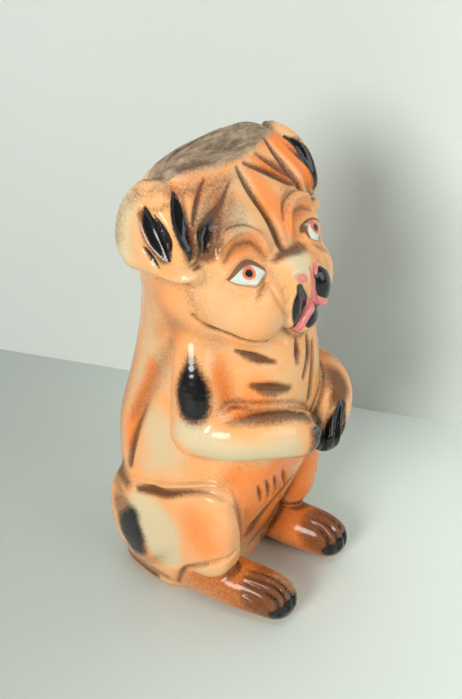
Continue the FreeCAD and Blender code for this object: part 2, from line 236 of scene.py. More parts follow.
def column(rows):
    """An upright form from rows of height, half width, front, back and squareness."""
    line = curve(rows, COLUMN_STEPS)
    heights = line[:, 0]
    low = np.array([-line[:, 1].max(), line[:, 2].min(), heights[0]], REAL)
    high = np.array([line[:, 1].max(), line[:, 3].max(), heights[-1]], REAL)

    def distance(x, y, z):
        half, front, back, power = [
            np.interp(z.ravel(), heights, line[:, i]).astype(REAL).reshape(1, 1, -1) for i in (1, 2, 3, 4)]
        side = np.abs(x) / half
        depth = np.abs(y - (front + back) / 2) * 2 / (back - front)
        size = (side ** power + depth ** power) ** (1 / power) + REAL(1e-6)
        away = np.sqrt(x * x + (y - (front + back) / 2) ** 2)
        wall = away - away / size
        return np.maximum(np.maximum(wall, heights[0] - z), z - heights[-1]).astype(REAL)

    return distance, low, high


def mirrored(form):
    distance, low, high = form
    return (lambda x, y, z: distance(-x, y, z),
            np.array([-high[0], low[1], low[2]], REAL), np.array([-low[0], high[1], high[2]], REAL))


# The figure's forms

# Rows of height, half width, front, back and squareness
TORSO = (
    (-6, 38, -16, 39, 2.5), (12, 40, -19.5, 44, 2.5), (38, 41.5, -30, 47, 2.4), (55, 41.8, -37, 48, 2.5),
    (72, 41.5, -43, 48.5, 2.75), (90, 40, -47, 47.8, 2.85), (108, 37.5, -50, 45, 2.5),
    (128, 35, -51, 41, 2.3), (145, 34.5, -49, 37.5, 2.2), (160, 35.5, -44, 34.5, 2.2),
    (172, 37, -38, 31, 2.2), (182, 37.5, -32, 26, 2.2))


def model_torso(clay):
    clay.add(column(TORSO), 6)


def model_legs(clay):
    """Forelegs folded on the chest, haunches, hind feet and tail."""
    clay.pair(limb([(-31, -12, 156, 9), (-35, -16, 138, 12), (-37.5, -18, 122, 13),
                    (-38.5, -18, 111, 12.5)]), 6)
    clay.add(limb([(-39, -18, 110, 12.3), (-34, -35, 112.5, 12.8), (-20, -48, 111, 12.5),
                   (-10.5, -53, 106.5, 11.3)]), 2.5)
    clay.add(limb([(39, -16, 106, 12.5), (35, -35, 107, 13.2), (25, -47, 106, 12.6), (14, -53, 100, 10.5),
                   (9, -56, 96, 8.5)]), 2.5)
    clay.pair(egg((-33, 12, 37), (14, 32, 34), turned(-4), 2.3), 4)
    clay.pair(egg((-33.6, -12.5, 50.5), (12.6, 24, 31), turned(3), 2.9), 2.5)
    for foot in (((-28, -2, 12, 13), (-27, -25, 12.3, 12.6), (-23.5, -44, 11.5, 12), (-22, -51, 10.3, 11)),
                 ((28, -2, 12, 13), (28, -27, 12.3, 12.6), (30.5, -42, 11.3, 12), (31.5, -48, 10.3, 11))):
        clay.add(limb(foot), 3)
    clay.add(limb([(0, 38, 10, 7), (-20, 38, 8, 7), (-33, 30, 7, 6), (-36, 16, 5, 5), (-36, 5, 3, 4)]), 2)


# Corners of the block of clay in mm, and the height above which the head's slopes are cut
BLOCK_LOW, BLOCK_HIGH, NECK_HEIGHT = (-62, -72, -4), (62, 56, 246), 150

# The pocket that the base plug closes, in mm: how far back its axis is, its radius and its depth
PLUG_BACK, POCKET_RADIUS, POCKET_DEPTH = 4, 17.1, 4.1

# Two slopes across the head, each its direction and place: from crown to brow, and behind the crown
FOREHEAD = (0.0, -0.761, 0.648, 153.6)
CROWN = (0.0, 0.6, 0.8, 190.6)


def half_space(plane):
    """All that lies above a plane, to cut away."""
    way = np.array(plane[:3], REAL)

    def distance(x, y, z):
        return plane[3] - (way[0] * x + way[1] * y + way[2] * z)

    return distance, np.array((*BLOCK_LOW[:2], NECK_HEIGHT), REAL), np.array(BLOCK_HIGH, REAL)


def model_head(clay):
    clay.add(egg((0, -4, 186), (40, 32, 38)), 10)
    clay.add(egg((0, -4, 204), (45.5, 27, 32.5), None, 2.5), 6)
    clay.pair(egg((-44.5, -5.5, 208), (9, 18.5, 20), turned(0, 6), 2.4), 3)
    clay.pair(limb([(-44, 1.5, 224.5, 3.6), (-48.5, 6, 218, 4), (-50, 8.7, 208, 4), (-49.6, 8.5, 199, 4.2),
                    (-49, 4.5, 194.6, 4.2)]), 3)
    clay.cut(half_space(FOREHEAD), 5)
    clay.cut(half_space(CROWN), 6)
    clay.pair(limb([(-49, 5, 195, 4.4), (-49, -3, 195, 4.2), (-47.5, -15, 194, 4),
                    (-44, -23, 192.5, 3.2)]), 1.5)
    clay.pair(egg((-28, -14, 180), (18.5, 22, 25)), 4)
    clay.pair(egg((-18, -31, 171), (18, 17.5, 18.5)), 5)
    clay.add(egg((0, -37, 177), (13.5, 14, 14.5), None, 2.6), 4)
    clay.add(egg((-9.8, -46.3, 172), (4.9, 5.8, 11.5), turned(0, 5)), 1.5)
    clay.add(egg((8.5, -48, 174), (6.4, 7, 10.5), turned(0, -5)), 1.5)
    clay.add(egg((0, -46, 162), (8, 8, 8)), 2)


def model_figure(grain):
    """The whole figure as one block of clay."""
    clay = Clay(BLOCK_LOW, BLOCK_HIGH, grain)
    for form in (model_torso, model_legs, model_head):
        form(clay)
    x, y, z = clay.axes
    ground = -z[None, None, :]
    from_axis = np.hypot(x[:, None, None], y[None, :, None] - PLUG_BACK)
    pocket = np.minimum(POCKET_RADIUS - from_axis, POCKET_DEPTH - z[None, None, :])
    clay.field = np.maximum(np.maximum(clay.field, ground), pocket)
    return clay


def sample(clay, points):
    """The block's distance at each point."""
    place = (points - clay.low) / clay.step
    first = np.clip(np.floor(place).astype(int), 0, np.array(clay.field.shape) - 2)
    share = place - first
    value = np.zeros(len(points))
    for corner in np.ndindex(2, 2, 2):
        weight = np.prod(np.where(corner, share, 1 - share), axis=1)
        at = first + corner
        value += weight * clay.field[at[:, 0], at[:, 1], at[:, 2]]
    return value


def slope(clay, points):
    """The outward direction of the surface at each point."""
    made = np.stack([sample(clay, points + step) - sample(clay, points - step)
                     for step in np.eye(3) * float(clay.step)], 1)
    return made / (np.linalg.norm(made, axis=1)[:, None] + 1e-9)


def skin(clay):
    """Points and four-sided faces of the clay's surface, by surface nets."""
    field = clay.field
    inside = field < 0
    shape = np.array(field.shape) - 1
    filled = np.zeros(shape, np.uint8)
    corners = list(np.ndindex(2, 2, 2))
    for i, j, k in corners:
        filled += inside[i:shape[0] + i, j:shape[1] + j, k:shape[2] + k]
    active = (filled > 0) & (filled < 8)
    cells = np.argwhere(active)
    number = np.full(shape, -1, np.int32)
    number[active] = np.arange(len(cells))
    value = {c: field[cells[:, 0] + c[0], cells[:, 1] + c[1], cells[:, 2] + c[2]] for c in corners}
    total, count = np.zeros((len(cells), 3)), np.zeros(len(cells))
    for c in corners:
        for axis in range(3):
            if c[axis]:
                continue
            a, b = value[c], value[tuple(1 if i == axis else c[i] for i in range(3))]
            crossed = (a < 0) != (b < 0)
            place = np.zeros((len(cells), 3)) + c
            place[:, axis] += np.where(crossed, a / np.where(crossed, a - b, 1), 0)
            total += place * crossed[:, None]
            count += crossed
    points = (cells + total / count[:, None]) * float(clay.step) + clay.low
    faces = []
    for axis in range(3):
        others = [i for i in range(3) if i != axis]
        lower = tuple(slice(0, -1) if i == axis else slice(None) for i in range(3))
        upper = tuple(slice(1, None) if i == axis else slice(None) for i in range(3))
        edges = np.argwhere(inside[lower] != inside[upper])
        starts_inside = inside[lower][tuple(edges.T)]
        ring = []
        for back in ((1, 1), (0, 1), (0, 0), (1, 0)):
            at = edges.copy()
            at[:, others] -= back
            ring.append(number[tuple(at.T)])
        ring = np.stack(ring, 1)
        if axis == 1:
            ring = ring[:, ::-1]
        faces.append(np.where(starts_inside[:, None], ring, ring[:, ::-1]))
    return points, np.vstack(faces)


def settle(clay, points, faces):
    """Evens out the points along the surface and puts them exactly on it."""
    ends = np.vstack([faces[:, [i, (i + 1) % 4]] for i in range(4)])
    links = np.bincount(ends[:, 0], minlength=len(points))[:, None]
    for turn in range(TURNS):
        middle = np.stack([np.bincount(ends[:, 0], points[ends[:, 1], i], len(points)) for i in range(3)], 1)
        points = points + EASE * (middle / links - points)
        points = points - sample(clay, points)[:, None] * slope(clay, points)
    return points


# Rounds of settling points and of laying rows on the clay, the share of the way that a point settles in
# each, and how far off a row may lie to be laid, in mm
TURNS, EASE, LAID_REACH = 3, 0.6, 4
OTHER_SIDE = (-1, 1, 1)

# Dark wash in the tool marks, and painted shade in the hollows where forms meet: how far out a hollow is felt
# and how deep a full mark is, in mm, where a hollow begins to be shaded and over how much it fills, and how
# much wash marks and painted shade hollows hold
CREASE_REACH, DEEP_MARK = 4.5, 3
HOLLOW_FROM, HOLLOW_OVER = 0.05, 0.5
WASH_IN_MARKS, PAINTED_SHADE_IN_HOLLOWS = 0.55, 0.65

# The hair, as height, pace and start: how its strands sway across the head, and the strands themselves
HAIR_WAVES = ((1.4, 0.21, 0), (0.9, 0.09, 2))
STRANDS = ((0.28, 1.9, 0), (0.2, 0.83, 1))

# Beads keep this far above the floor and this far from the seam, in m
BEAD_HEIGHT, BEAD_FROM_SEAM = 0.007, 0.001

# Eyes: centre in mm, directions across and up, half length and half height in mm
EYES = (
    ((-24.9, -34, 188.9), (0.95, -0.3, -0.07), (0.04, -0.13, 0.99), (9.6, 3.6)),
    ((27.6, -34.5, 189.2), (0.95, 0.3, 0.0), (0.05, -0.15, 0.987), (8.6, 3.9)),
)
# Where their paint ends and is whole: in front and behind in m, and to the sides in half lengths
EYE_DEPTH, EYE_WIDTH = (0.012, 0.011), (1.6, 1.5)
# The lower lid's bow beside the upper one's, and the iris and pupil in shares of half a height
LOWER_LID = 0.85
IRIS_ACROSS, IRIS_UP, IRIS_RADIUS, PUPIL_RADIUS, IRIS_WIDER = 0.04, 0.32, 0.6, 0.34, 1.6

# Paint layers, and the first one in each colour attribute of the mesh
LAYERS = ("cream", "orange", "brown", "black", "pink", "crown")
PAINT_ATTRIBUTES = (("soft_paint", 0), ("mark_paint", 3))

# The middle of a noise's values
MIDDLE = 0.5

# Noise, as scale per metre and detail; where some of it begins and ends to show, and how strongly
CLOUD, GRAIN, DRIFT, STREAK = (60.0, 3.0), (900.0, 2.0), (26.0, 2.0), (420.0, 3.0)
DUST, PITS, MOTTLES = (55.0, 3.0), (700.0, 2.0), (9.0, 3.0)
ORANGE_DRIFT, CREAM_CLOUD = (0.42, 0.7, 0.3), (0.6, 0.38, 0.35)

# Hair: how its strands are stretched, where their streaks run from dark to pale, and both shades
STRETCH, STREAK_SHOWS, HAIR_DARK, HAIR_PALE = (0.25, 1.0, 1.0), (0.3, 0.72), 0.7, 1.65

# Varnish: its strength, then what black paint adds and hair takes away; how much cloud and hair roughen it
COAT, COAT_ON_BLACK, COAT_OFF_CROWN, ROUGH_CLOUD, ROUGH_CROWN = 0.4, 0.3, 0.34, 0.15, 0.25
SPECULAR, COAT_ROUGHNESS = 0.1, 0.1

# Bumps: how high grain and hair stand beside the cloud, then strength and height in m
GRAIN_RISE, HAIR_RISE = 0.12, 1.4
PAINT_BUMP, BARE_BUMP = (0.25, 0.0006), (0.4, 0.0005)

# The coats in the order they go on: layer, how ragged its edge is, where it starts and where it covers,
# and how strong it gets
COATS = (
    ("cream", 0.5, 0.1, 0.9, 1.0), ("orange", 0.3, 0.0, 1.0, 0.95), ("crown", 0.9, 0.1, 1.0, 1.0),
    ("brown", 0.5, 0.04, 0.8, 0.92), ("black", 0.5, 0.12, 0.8, 1.0), ("pink", 0.3, 0.3, 0.6, 1.0),
)

# Tool marks: rows of x, y, z, width and depth in mm; a depth below nought is a ridge

MARKS_BOTH_SIDES = {
    "ear fold at the rear": ((-52.5, -3, 221.5, 1.5, 0.6), (-53.5, -5.5, 216, 4.2, 2.8),
        (-54, -9, 210.5, 5, 3.6), (-54, -13, 205.5, 4, 2.6), (-53, -16.5, 200, 1.8, 0.7)),
    "fold beside it": ((-52.5, -8, 219.5, 1.2, 0.4), (-53, -13, 214.5, 2.2, 1.6), (-53, -16.5, 209, 2.4, 1.8),
        (-53, -17.5, 202, 1.4, 0.6)),
    "ear fold, lowest": ((-54.5, -2, 205, 1.5, 0.6), (-54.5, -6, 202, 2.4, 1.8), (-54.5, -9, 198.5, 2.4, 1.8),
        (-53.5, -12, 195.5, 1.4, 0.6)),
    "ear fold in front": ((-39, -9.5, 226, 1.8, 0.8), (-44, -14.5, 220, 3.6, 2.8),
        (-46.5, -18.5, 215.5, 4.2, 3.6), (-48, -22.5, 209.5, 4, 3.2), (-46, -24.5, 199, 2, 1)),
    "fold in front of it": ((-36.5, -11.5, 223, 1.4, 0.5), (-40, -16.5, 217.5, 2.4, 1.6),
        (-44.5, -22, 210.5, 2.6, 1.8), (-44.5, -24.5, 200, 1.6, 0.8)),
    "ear's lower lip": ((-46, -24.5, 193.5, 2, -1.4), (-49.5, -19, 191.5, 2.2, -1.2),
        (-52.5, -12, 192.5, 2, -0.6)),
    "brow": ((-35, -29.5, 199, 1.8, -1.2), (-32, -28, 203, 2.2, -2.8), (-24, -28.5, 205.5, 2.4, -2.8),
        (-15.5, -30, 204, 2.4, -2.8), (-10.5, -33, 199.5, 2.2, -2.4), (-9, -36, 193.5, 1.8, -1.2)),
    "over the brow": ((-32, -26, 206, 1.4, 0.5), (-23.5, -26, 208.5, 1.8, 1.2), (-14, -28, 207, 1.8, 1.2),
        (-8, -32, 201, 1.4, 0.5)),
    "under the ear": ((-51.5, 7, 189, 1.6, 0.5), (-50.5, -3, 188.5, 2.2, 1.6), (-48.5, -14, 188, 2.2, 1.6),
        (-45, -22, 187, 1.6, 0.6)),
    "socket": ((-33, -30.5, 196.5, 3.5, 1), (-24, -31, 200, 4.5, 1.8), (-15, -33.5, 198, 4.5, 1.8),
        (-11.5, -36.5, 193, 3.5, 1.2)),
    "eye": ((-30, -33.5, 189.3, 6, -0.6), (-24.5, -34.5, 189.8, 7.5, -1.2), (-19, -36, 188.8, 6, -0.8)),
    "upper lid": ((-35.5, -32, 189.3, 1.4, 0.4), (-30.5, -32.5, 192.8, 1.7, 1), (-22, -33.5, 193.8, 1.8, 1.1),
        (-16.5, -35, 191.3, 1.8, 1), (-14, -36, 188.3, 1.4, 0.4)),
    "lower lid": ((-35.5, -32, 188.8, 1.3, 0.3), (-29, -36, 185.3, 1.6, 0.7), (-21, -38.5, 185.8, 1.6, 0.7),
        (-14, -36.5, 187.8, 1.3, 0.3)),
    "bag under the eye": ((-19, -40, 187.5, 2, 0.5), (-22, -41, 184.5, 3, 1.1),
        (-28.5, -42, 180.5, 2.5, 0.6)),
    "muzzle fold": ((-20, -43, 184.5, 1.8, 0.5), (-19, -46.5, 177, 2.2, 1.1), (-13, -48, 168, 1.8, 0.7)),
    "jowl edge": ((-44.5, -21, 174, 2, 0.8), (-38, -28, 165.5, 2.6, 1.8), (-33.5, -35, 161.5, 2.8, 2.2),
        (-28, -40, 158.5, 2.8, 2.2), (-19, -43.5, 155.5, 2.6, 1.6), (-11, -46, 153, 2, 0.8)),
    "cheek line": ((-46, -17.5, 186, 1.8, 0.5), (-45.5, -20.5, 180, 2.4, 1.2), (-44.5, -22.5, 174, 2, 0.8)),
    "back groove": ((-35, 14.5, 112, 3, 0.6), (-35, 20, 97, 5, 2), (-36, 24, 83, 5, 2.2),
        (-38, 27, 70, 4, 1.6)),
    "behind the foreleg": ((-38, -2, 151, 2, 0.5), (-37.5, -2.5, 135, 3, 1.6), (-38, -3, 120, 3, 1.8),
        (-41, -7, 107, 2.8, 1.4), (-43.5, -17, 99.5, 2.2, 0.8)),
    "thigh ridge": ((-40, 24, 63, 1.8, -0.8), (-41.5, 12, 67.5, 2, -2), (-42.5, 0, 71.5, 2, -2.2),
        (-42, -15, 78, 2, -2.4), (-38.5, -25, 81, 2, -2.4), (-35, -31.5, 78.5, 2, -2.2),
        (-34, -35, 72, 1.8, -1)),
    "groove under it": ((-43, 20, 60.5, 2.6, 0.8), (-43.5, 10, 64.5, 3, 1.8), (-44, 0, 68, 3, 2),
        (-43.5, -14, 74.5, 3, 2), (-40.5, -24, 77.5, 3, 1.8), (-37.5, -31, 75, 2.4, 1)),
    "thigh over the foot": ((-41.5, -2.5, 5, 2.5, 1.2), (-44.5, -8.5, 18, 3, 2), (-44.5, -14.5, 26, 3, 2),
        (-44, -22.5, 33.5, 3, 2), (-42.5, -31, 39, 3, 1.8), (-36, -37, 42, 2.5, 1.2)),
}


def numbered(name, sizes, *lines):
    """Tool marks that share their widths and depths."""
    return {f"{name} {i}": [(*point, *size) for point, size in zip(line, sizes)]
            for i, line in enumerate(lines, 1)}


MARKS_ONE_SIDE = {
    "near temple": ((-9.5, -14.5, 219.5, 1.6, 0.5), (-20.5, -19, 215, 3.2, 1.6),
        (-31.5, -21.5, 211.5, 5, 2.6), (-36.5, -22.5, 207.5, 5.5, 2.8), (-38, -23.5, 203, 3.5, 1.2)),
    "between the ear folds": ((-25, -12, 223.5, 1.6, 0.8), (-33.5, -16.5, 218, 2.8, 1.6),
        (-40, -19.5, 213.5, 2.2, 0.8)),
    "nearest hair parting": ((-28, 3.5, 232, 1.4, 0.8), (-22, 4, 233.5, 1.6, 1.3), (-13, 4, 234, 1.6, 1.4),
        (-5, 3.5, 234.5, 1.6, 1.2), (6, 3, 234.5, 1.4, 0.8)),
    "near nostril": ((-9, -47.5, 183.5, 1.4, 0.4), (-6.5, -49.5, 184.5, 2.2, 1.2),
        (-4, -50.5, 183.5, 1.4, 0.6)),
    "far nostril": ((7, -47, 186, 1.4, 0.6), (4.5, -49.5, 185.5, 2, 1), (3.5, -51, 182.5, 1.4, 0.5)),
    "lip, upper": ((0.5, -49.5, 186, 1.4, -0.4), (0.3, -51, 180, 1.6, -0.8), (1.3, -51, 175.5, 1.8, -1.2),
        (2.5, -50.5, 170.5, 1.8, -1.6)),
    "lip, near": ((2.5, -50.5, 170.5, 1.8, -1.2), (0, -51.5, 168, 2.2, -1.8), (-3.5, -51.5, 166, 2.2, -1.8),
        (-6, -51, 162.5, 2, -1.6), (-6.5, -49, 158.5, 1.8, -1)),
    "lip, far": ((2.5, -50.5, 170.5, 1.8, -1.2), (5.5, -52.5, 168.5, 2.2, -1.8), (9.5, -53.5, 166, 2, -1.4),
        (12, -52.5, 164, 1.4, -0.6)),
    "forehead furrow": ((-0.5, -12, 222.5, 2, 0.8), (-0.5, -19.5, 215, 3.6, 2.8), (0.5, -26.5, 206, 3.8, 3.2),
        (0, -33.5, 197.5, 3.8, 3), (-1, -37.5, 192, 3, 1.5)),
    "far ridge, lower": ((5, -12, 223, 1.8, 0.6), (15.5, -17, 217, 2.8, 2.2), (24, -22, 211, 2.8, 2.2),
        (34, -26.5, 205, 2, 1)),
    "far ridge, upper": ((15, -11, 224, 1.8, 0.6), (23, -17.5, 216.5, 2.6, 1.8), (30, -23, 210, 1.8, 0.6)),
    "far ear's front edge": ((25.5, -8.5, 227, 2, 0.8), (27.5, -16, 218.5, 3.4, 2.4),
        (31, -23, 210, 3.4, 2.6), (37, -28.5, 201, 2.6, 1.4)),
    "chest fold, upper": ((-28.5, -32, 152, 2, 0.6), (-23.5, -38.5, 148.5, 3.2, 2),
        (-17, -44.5, 145, 2.2, 0.8)),
    "chest fold, lower": ((-26, -38.5, 135, 2.5, 0.5), (-20, -44.5, 132.5, 4, 1.4),
        (-12, -48.5, 130.5, 2.5, 0.5)),
    "under the chin, near": ((-4, -47.5, 152, 2, 0.8), (-5, -48.5, 146, 2.6, 1.6), (-6, -49, 141, 1.8, 0.5)),
    "under the chin, far": ((4, -48, 150, 2, 0.8), (2.5, -49.5, 141, 2.8, 2.2), (-2.5, -50.5, 132, 2, 1)),
    "beside the far foreleg": ((8, -48.5, 145, 2.4, 1), (5, -50.5, 132, 3, 2), (3, -50.5, 117, 3, 1.5)),
    "over the near foreleg": ((-42, -33.5, 122.5, 2, 0.5), (-36, -37.5, 125, 3.2, 2),
        (-28.5, -41, 125.5, 3.6, 2.4), (-20, -47.5, 124.5, 3.4, 2.2), (-11, -54.5, 120, 2.6, 1.4)),
    "thigh's front edge": ((-35, -36.5, 74, 2, 0.5), (-31.5, -38.5, 64, 3.2, 2), (-28.5, -38.5, 52, 3.4, 2.4),
        (-26.5, -37, 40, 3, 2), (-24, -32, 29, 2, 0.8)),
    **numbered("belly rib", ((1.4, 0.6), (1.9, 1.6), (1.4, 0.6)),
        ((-22.5, -38.5, 78), (-20, -38.5, 71), (-17, -37.5, 63)),
        ((-19, -41, 80), (-15.5, -40.5, 71.5), (-12, -39, 62.5)),
        ((-14.5, -43, 80), (-10.5, -41.5, 71.5), (-6.5, -39.5, 63)),
        ((-9, -44, 80), (-4, -42.5, 71), (1, -40, 62))),
    "belly's lower edge": ((16, -40, 62, 1.6, 0.5), (5, -40, 62, 2.6, 1.4), (-4, -37.5, 56, 3, 1.8),
        (-11, -34, 47, 3, 1.8), (-16, -30, 38, 2.4, 0.8)),
    "near toe 1": ((-29, -38, 23.5, 1.5, 0.5), (-25.5, -50, 22.5, 2.2, 1.8), (-24.5, -57.5, 18.5, 2.2, 2.2),
        (-26, -61, 12, 2, 1.6)),
    "near toe 2": ((-25, -38, 24, 1.5, 0.5), (-21, -49.5, 23, 2, 1.6), (-20.5, -58, 18.5, 2.2, 2.2),
        (-21.5, -61.5, 12, 2, 1.6)),
    "near toe 3": ((-32, -38, 21.5, 1.5, 0.5), (-30.5, -48.5, 20.5, 2.2, 1.8), (-29, -56, 16.5, 2.2, 2.2),
        (-30, -59, 9, 2, 1.6)),
    "near toe 4": ((-34.5, -40, 17, 1.5, 0.5), (-33.5, -48, 15.5, 2, 1.4), (-32.8, -54, 10, 2, 1.4)),
    **numbered("far toe", ((1.5, 0.5), (2.2, 1.8), (2.2, 2.2), (2, 1.6)),
        ((28, -40, 23.5), (29, -50, 21.5), (28.5, -56, 17.5), (27.5, -58.5, 10)),
        ((24, -40, 22.5), (24.5, -48, 20), (23.5, -53, 16), (22.5, -55, 9)),
        ((32.5, -42, 23), (34.5, -50.5, 20.5), (33.5, -56, 17), (33, -59, 10))),
    **numbered("far claw", ((1.5, 0.5), (2.2, 2), (2.2, 2.2), (2, 1.2)),
        ((14, -56, 111.5), (7.5, -58, 106), (3.5, -59.5, 98), (3, -59, 91)),
        ((17, -59, 110.5), (11.5, -61.5, 105), (8, -63.5, 98.5), (7, -62.5, 91)),
        ((20.5, -60.5, 107.5), (16, -62.5, 102), (12.5, -63.5, 96), (11, -62, 90))),
    **numbered("near claw", ((1.5, 0.5), (2.2, 2), (2, 1.5)),
        ((-10, -63.5, 113), (-6, -63.5, 108), (-5, -62.5, 101)),
        ((-5, -62.5, 114), (-1.5, -60.5, 108), (-2, -60, 101))),
}


def along(mark, *radii):
    """The rows of a tool mark, with the radii of a stroke in place of its widths and depths."""
    rows = MARKS_ONE_SIDE.get(mark) or MARKS_BOTH_SIDES[mark]
    return [(*row[:3], radius) for row, radius in zip(rows, radii)]


# Sprayed strokes by layer: softness, strength and rows of x, y, z and radius in mm

SPRAYED_BOTH_SIDES = {
    "cream": (
        (14, 1, (-53, 8, 222, 6), (-54, 12, 208, 8), (-53, 8, 197, 5)),
        (14, 0.9, (-41, 14, 50, 12), (-44, 6, 44, 16), (-44, 0, 30, 10)),
        (20, 0.75, (-34, 8, 100, 12), (-36, 4, 88, 12), (-36, 12, 78, 8)),
        (18, 0.6, (-40, 4, 130, 6), (-36, 16, 140, 10), (-32, 20, 120, 8)),
    ),
    "orange": (
        (10, 0.8, (-36, 26, 80, 4), (-35, 24, 96, 5), (-35, 19, 112, 5), (-35, 14, 130, 5)),
        (16, 0.7, (-40, -20, 60, 12), (-40, -24, 48, 12)),
        (10, 0.8, (-28, -10, 20, 14), (-28, -40, 16, 15)),
        (8, 0.4, (-28, -9, 227, 4), (-12, -13, 222, 4)),
        (8, 0.6, (-30, -30, 199, 4), (-18, -33, 200, 5), (-12, -36, 195, 3)),
        (12, 0.6, (-40, -6, 178, 5), (-37, -8, 165, 6), (-36, -6, 150, 5)),
        (10, 0.6, (-34, -32, 118, 6), (-26, -44, 132, 8)),
        (9, 0.8, (-36, -30, 150, 4), (-36, -33, 137, 5), (-34, -38, 128, 4)),
    ),
    "brown": (
        (10, 0.6, (-43, -18, 150, 2), (-46, -21, 138, 8), (-48, -23, 128, 8)),
        (9, 0.55, (-45, 28, 46, 9), (-47, 18, 26, 8)),
        (14, 0.5, (-31, -10, 14, 13), (-30, -35, 14, 13)),
        (12, 0.75, (-28, -46, 16, 13), (-25, -58, 12, 12)),
        (16, 0.35, (-30, 44, 40, 10), (-30, 44, 90, 10), (-26, 38, 140, 10)),
        (12, 0.5, (-39, 34, 58, 5), (-42, 28, 52, 5)),
        (10, 0.55, (-40, 28, 18, 5), (-42, 16, 12, 5), (-42, 4, 8, 4)),
        (12, 0.4, (-33, -2, 150, 4), (-36, 10, 128, 6), (-35, 22, 100, 6)),
        (14, 0.25, (-20, -48, 98, 7), (-32, -36, 94, 6)),
        (8, 0.6, (-34, -22, 16, 4), (-33, -40, 9, 3), (-30, -52, 6, 4)),
        (10, 0.4, (-42, -4, 34, 3), (-43, 10, 20, 5), (-40, 26, 14, 6)),
        (12, 0.25, (-34, -10, 84, 6), (-32, -30, 84, 5)),
        (12, 0.3, (-46, -14, 190, 5), (-43, -20, 184, 5), (-40, -24, 172, 4)),
        (14, 0.35, (-40, -12, 168, 6), (-40, -4, 160, 6), (-37, 10, 150, 6)),
        (9, 0.4, (-51, 2, 225, 3), (-54, 8, 215, 3), (-54, 10, 203, 3)),
        (9, 0.75, (-31, -50, 14, 10), (-25, -60, 10, 11)),
        (5, 0.8, (-52.5, -4, 217, 3.4), (-53, -8.5, 210, 5), (-53, -14, 202, 3.4)),
        (5, 0.8, (-43, -14, 221, 3), (-46, -20, 213, 4.6), (-46, -23, 203, 3.8)),
        (4, 0.6, (-33, -30.5, 197, 1), (-24, -31, 201, 1.6), (-15, -33.5, 199, 1.6), (-11, -37, 193, 1)),
        (5, 0.5, (-19, -40, 187.5, 1), (-22, -41, 184, 2.6), (-27, -42, 181, 1.2)),
        (2.5, 0.85, *along("jowl edge", 0.6, 1.2, 1.4, 1.4, 1)),
        (3, 0.8, (-38, -2, 148, 0.5), (-37.5, -2.5, 135, 1.2), (-38, -3, 120, 1.4), (-41, -7, 107, 1.2),
            (-43.5, -17, 99.5, 0.8)),
        (5, 0.75, *along("back groove", 0.5, 1.6, 2.4, 2.6)),
        (14, 0.85, (-30, 44, 68, 3), (-37, 36, 63, 5), (-41, 26, 60, 3)),
        (5, 0.85, (-43, 18, 61, 1.6), (-44, 8, 65, 2.8), (-44, -2, 68, 2.2), (-43.5, -14, 74.5, 1.2),
            (-40.5, -24, 77.5, 0.6)),
        (4, 0.8, (-41.5, -2.5, 5, 1.4), (-44.5, -8.5, 18, 1.4), (-44, -14.5, 26, 1), (-43, -25, 35, 0.6)),
        # Painted shadow: a dark line under the ear's lower edge, where the ear overhangs the cheek
        (3, 0.7, (-51.5, 7, 188.5, 0.5), (-50.5, -3, 188, 1.2), (-48.5, -14, 187.5, 1.2),
            (-45, -22, 187, 0.5)),
        (2.5, 0.75, (-31, -26.5, 205.5, 0.4), (-23.5, -26.5, 208, 0.8), (-14, -28.5, 206.5, 0.8),
            (-8.5, -32, 201, 0.4)),
    ),
    "black": (
        (10, 1, (-42, -17, 152, 0.1), (-43.5, -18.5, 147, 2.8), (-45.5, -20, 141, 6.2),
            (-47, -21.5, 135, 7.8), (-48, -23, 130, 7.2)),
        (13, 1, (-46.5, 20, 46, 4), (-46.5, 22, 38, 8.5), (-46, 22, 31, 9.5), (-45.5, 20.5, 25, 7)),
        (1.6, 1, (-52.5, -3.5, 220.5, 0.8), (-53.5, -6, 215.5, 3.4), (-54, -9.5, 210.5, 4.4),
            (-54, -13, 205.5, 3.2), (-53, -16.5, 200.5, 0.8)),
        (1.6, 0.8, (-52.5, -9, 218.5, 0.4), (-53, -13, 214.5, 1.5), (-53, -16.5, 209, 1.6),
            (-53, -17, 202.5, 0.4)),
        (1.6, 1, (-39.5, -10, 225, 1), (-44, -14.5, 220, 3), (-46.5, -18.5, 215.5, 3.9),
            (-48, -22.5, 209.5, 3.2), (-46, -24.2, 199.5, 0.8)),
        (1.8, 0.55, (-38, -12, 222, 0.4), (-41, -17.5, 216.5, 1.4), (-45, -22.5, 210, 1.6),
            (-44.5, -24, 200, 0.6)),
        (2, 0.85, (-54.5, -3.5, 204, 0.4), (-54.5, -6, 202, 1.3), (-54.5, -9, 198.5, 1.3),
            (-53.5, -11.5, 196, 0.4)),
        (6, 0.45, (-52, -5, 219.5, 0.6), (-49, -10, 220, 2), (-45, -13, 221.5, 2)),
    ),
    "pink": (
        (5, 0.35, (-14, -37, 187, 1), (-15, -39.5, 184, 2.4)),
    ),
}

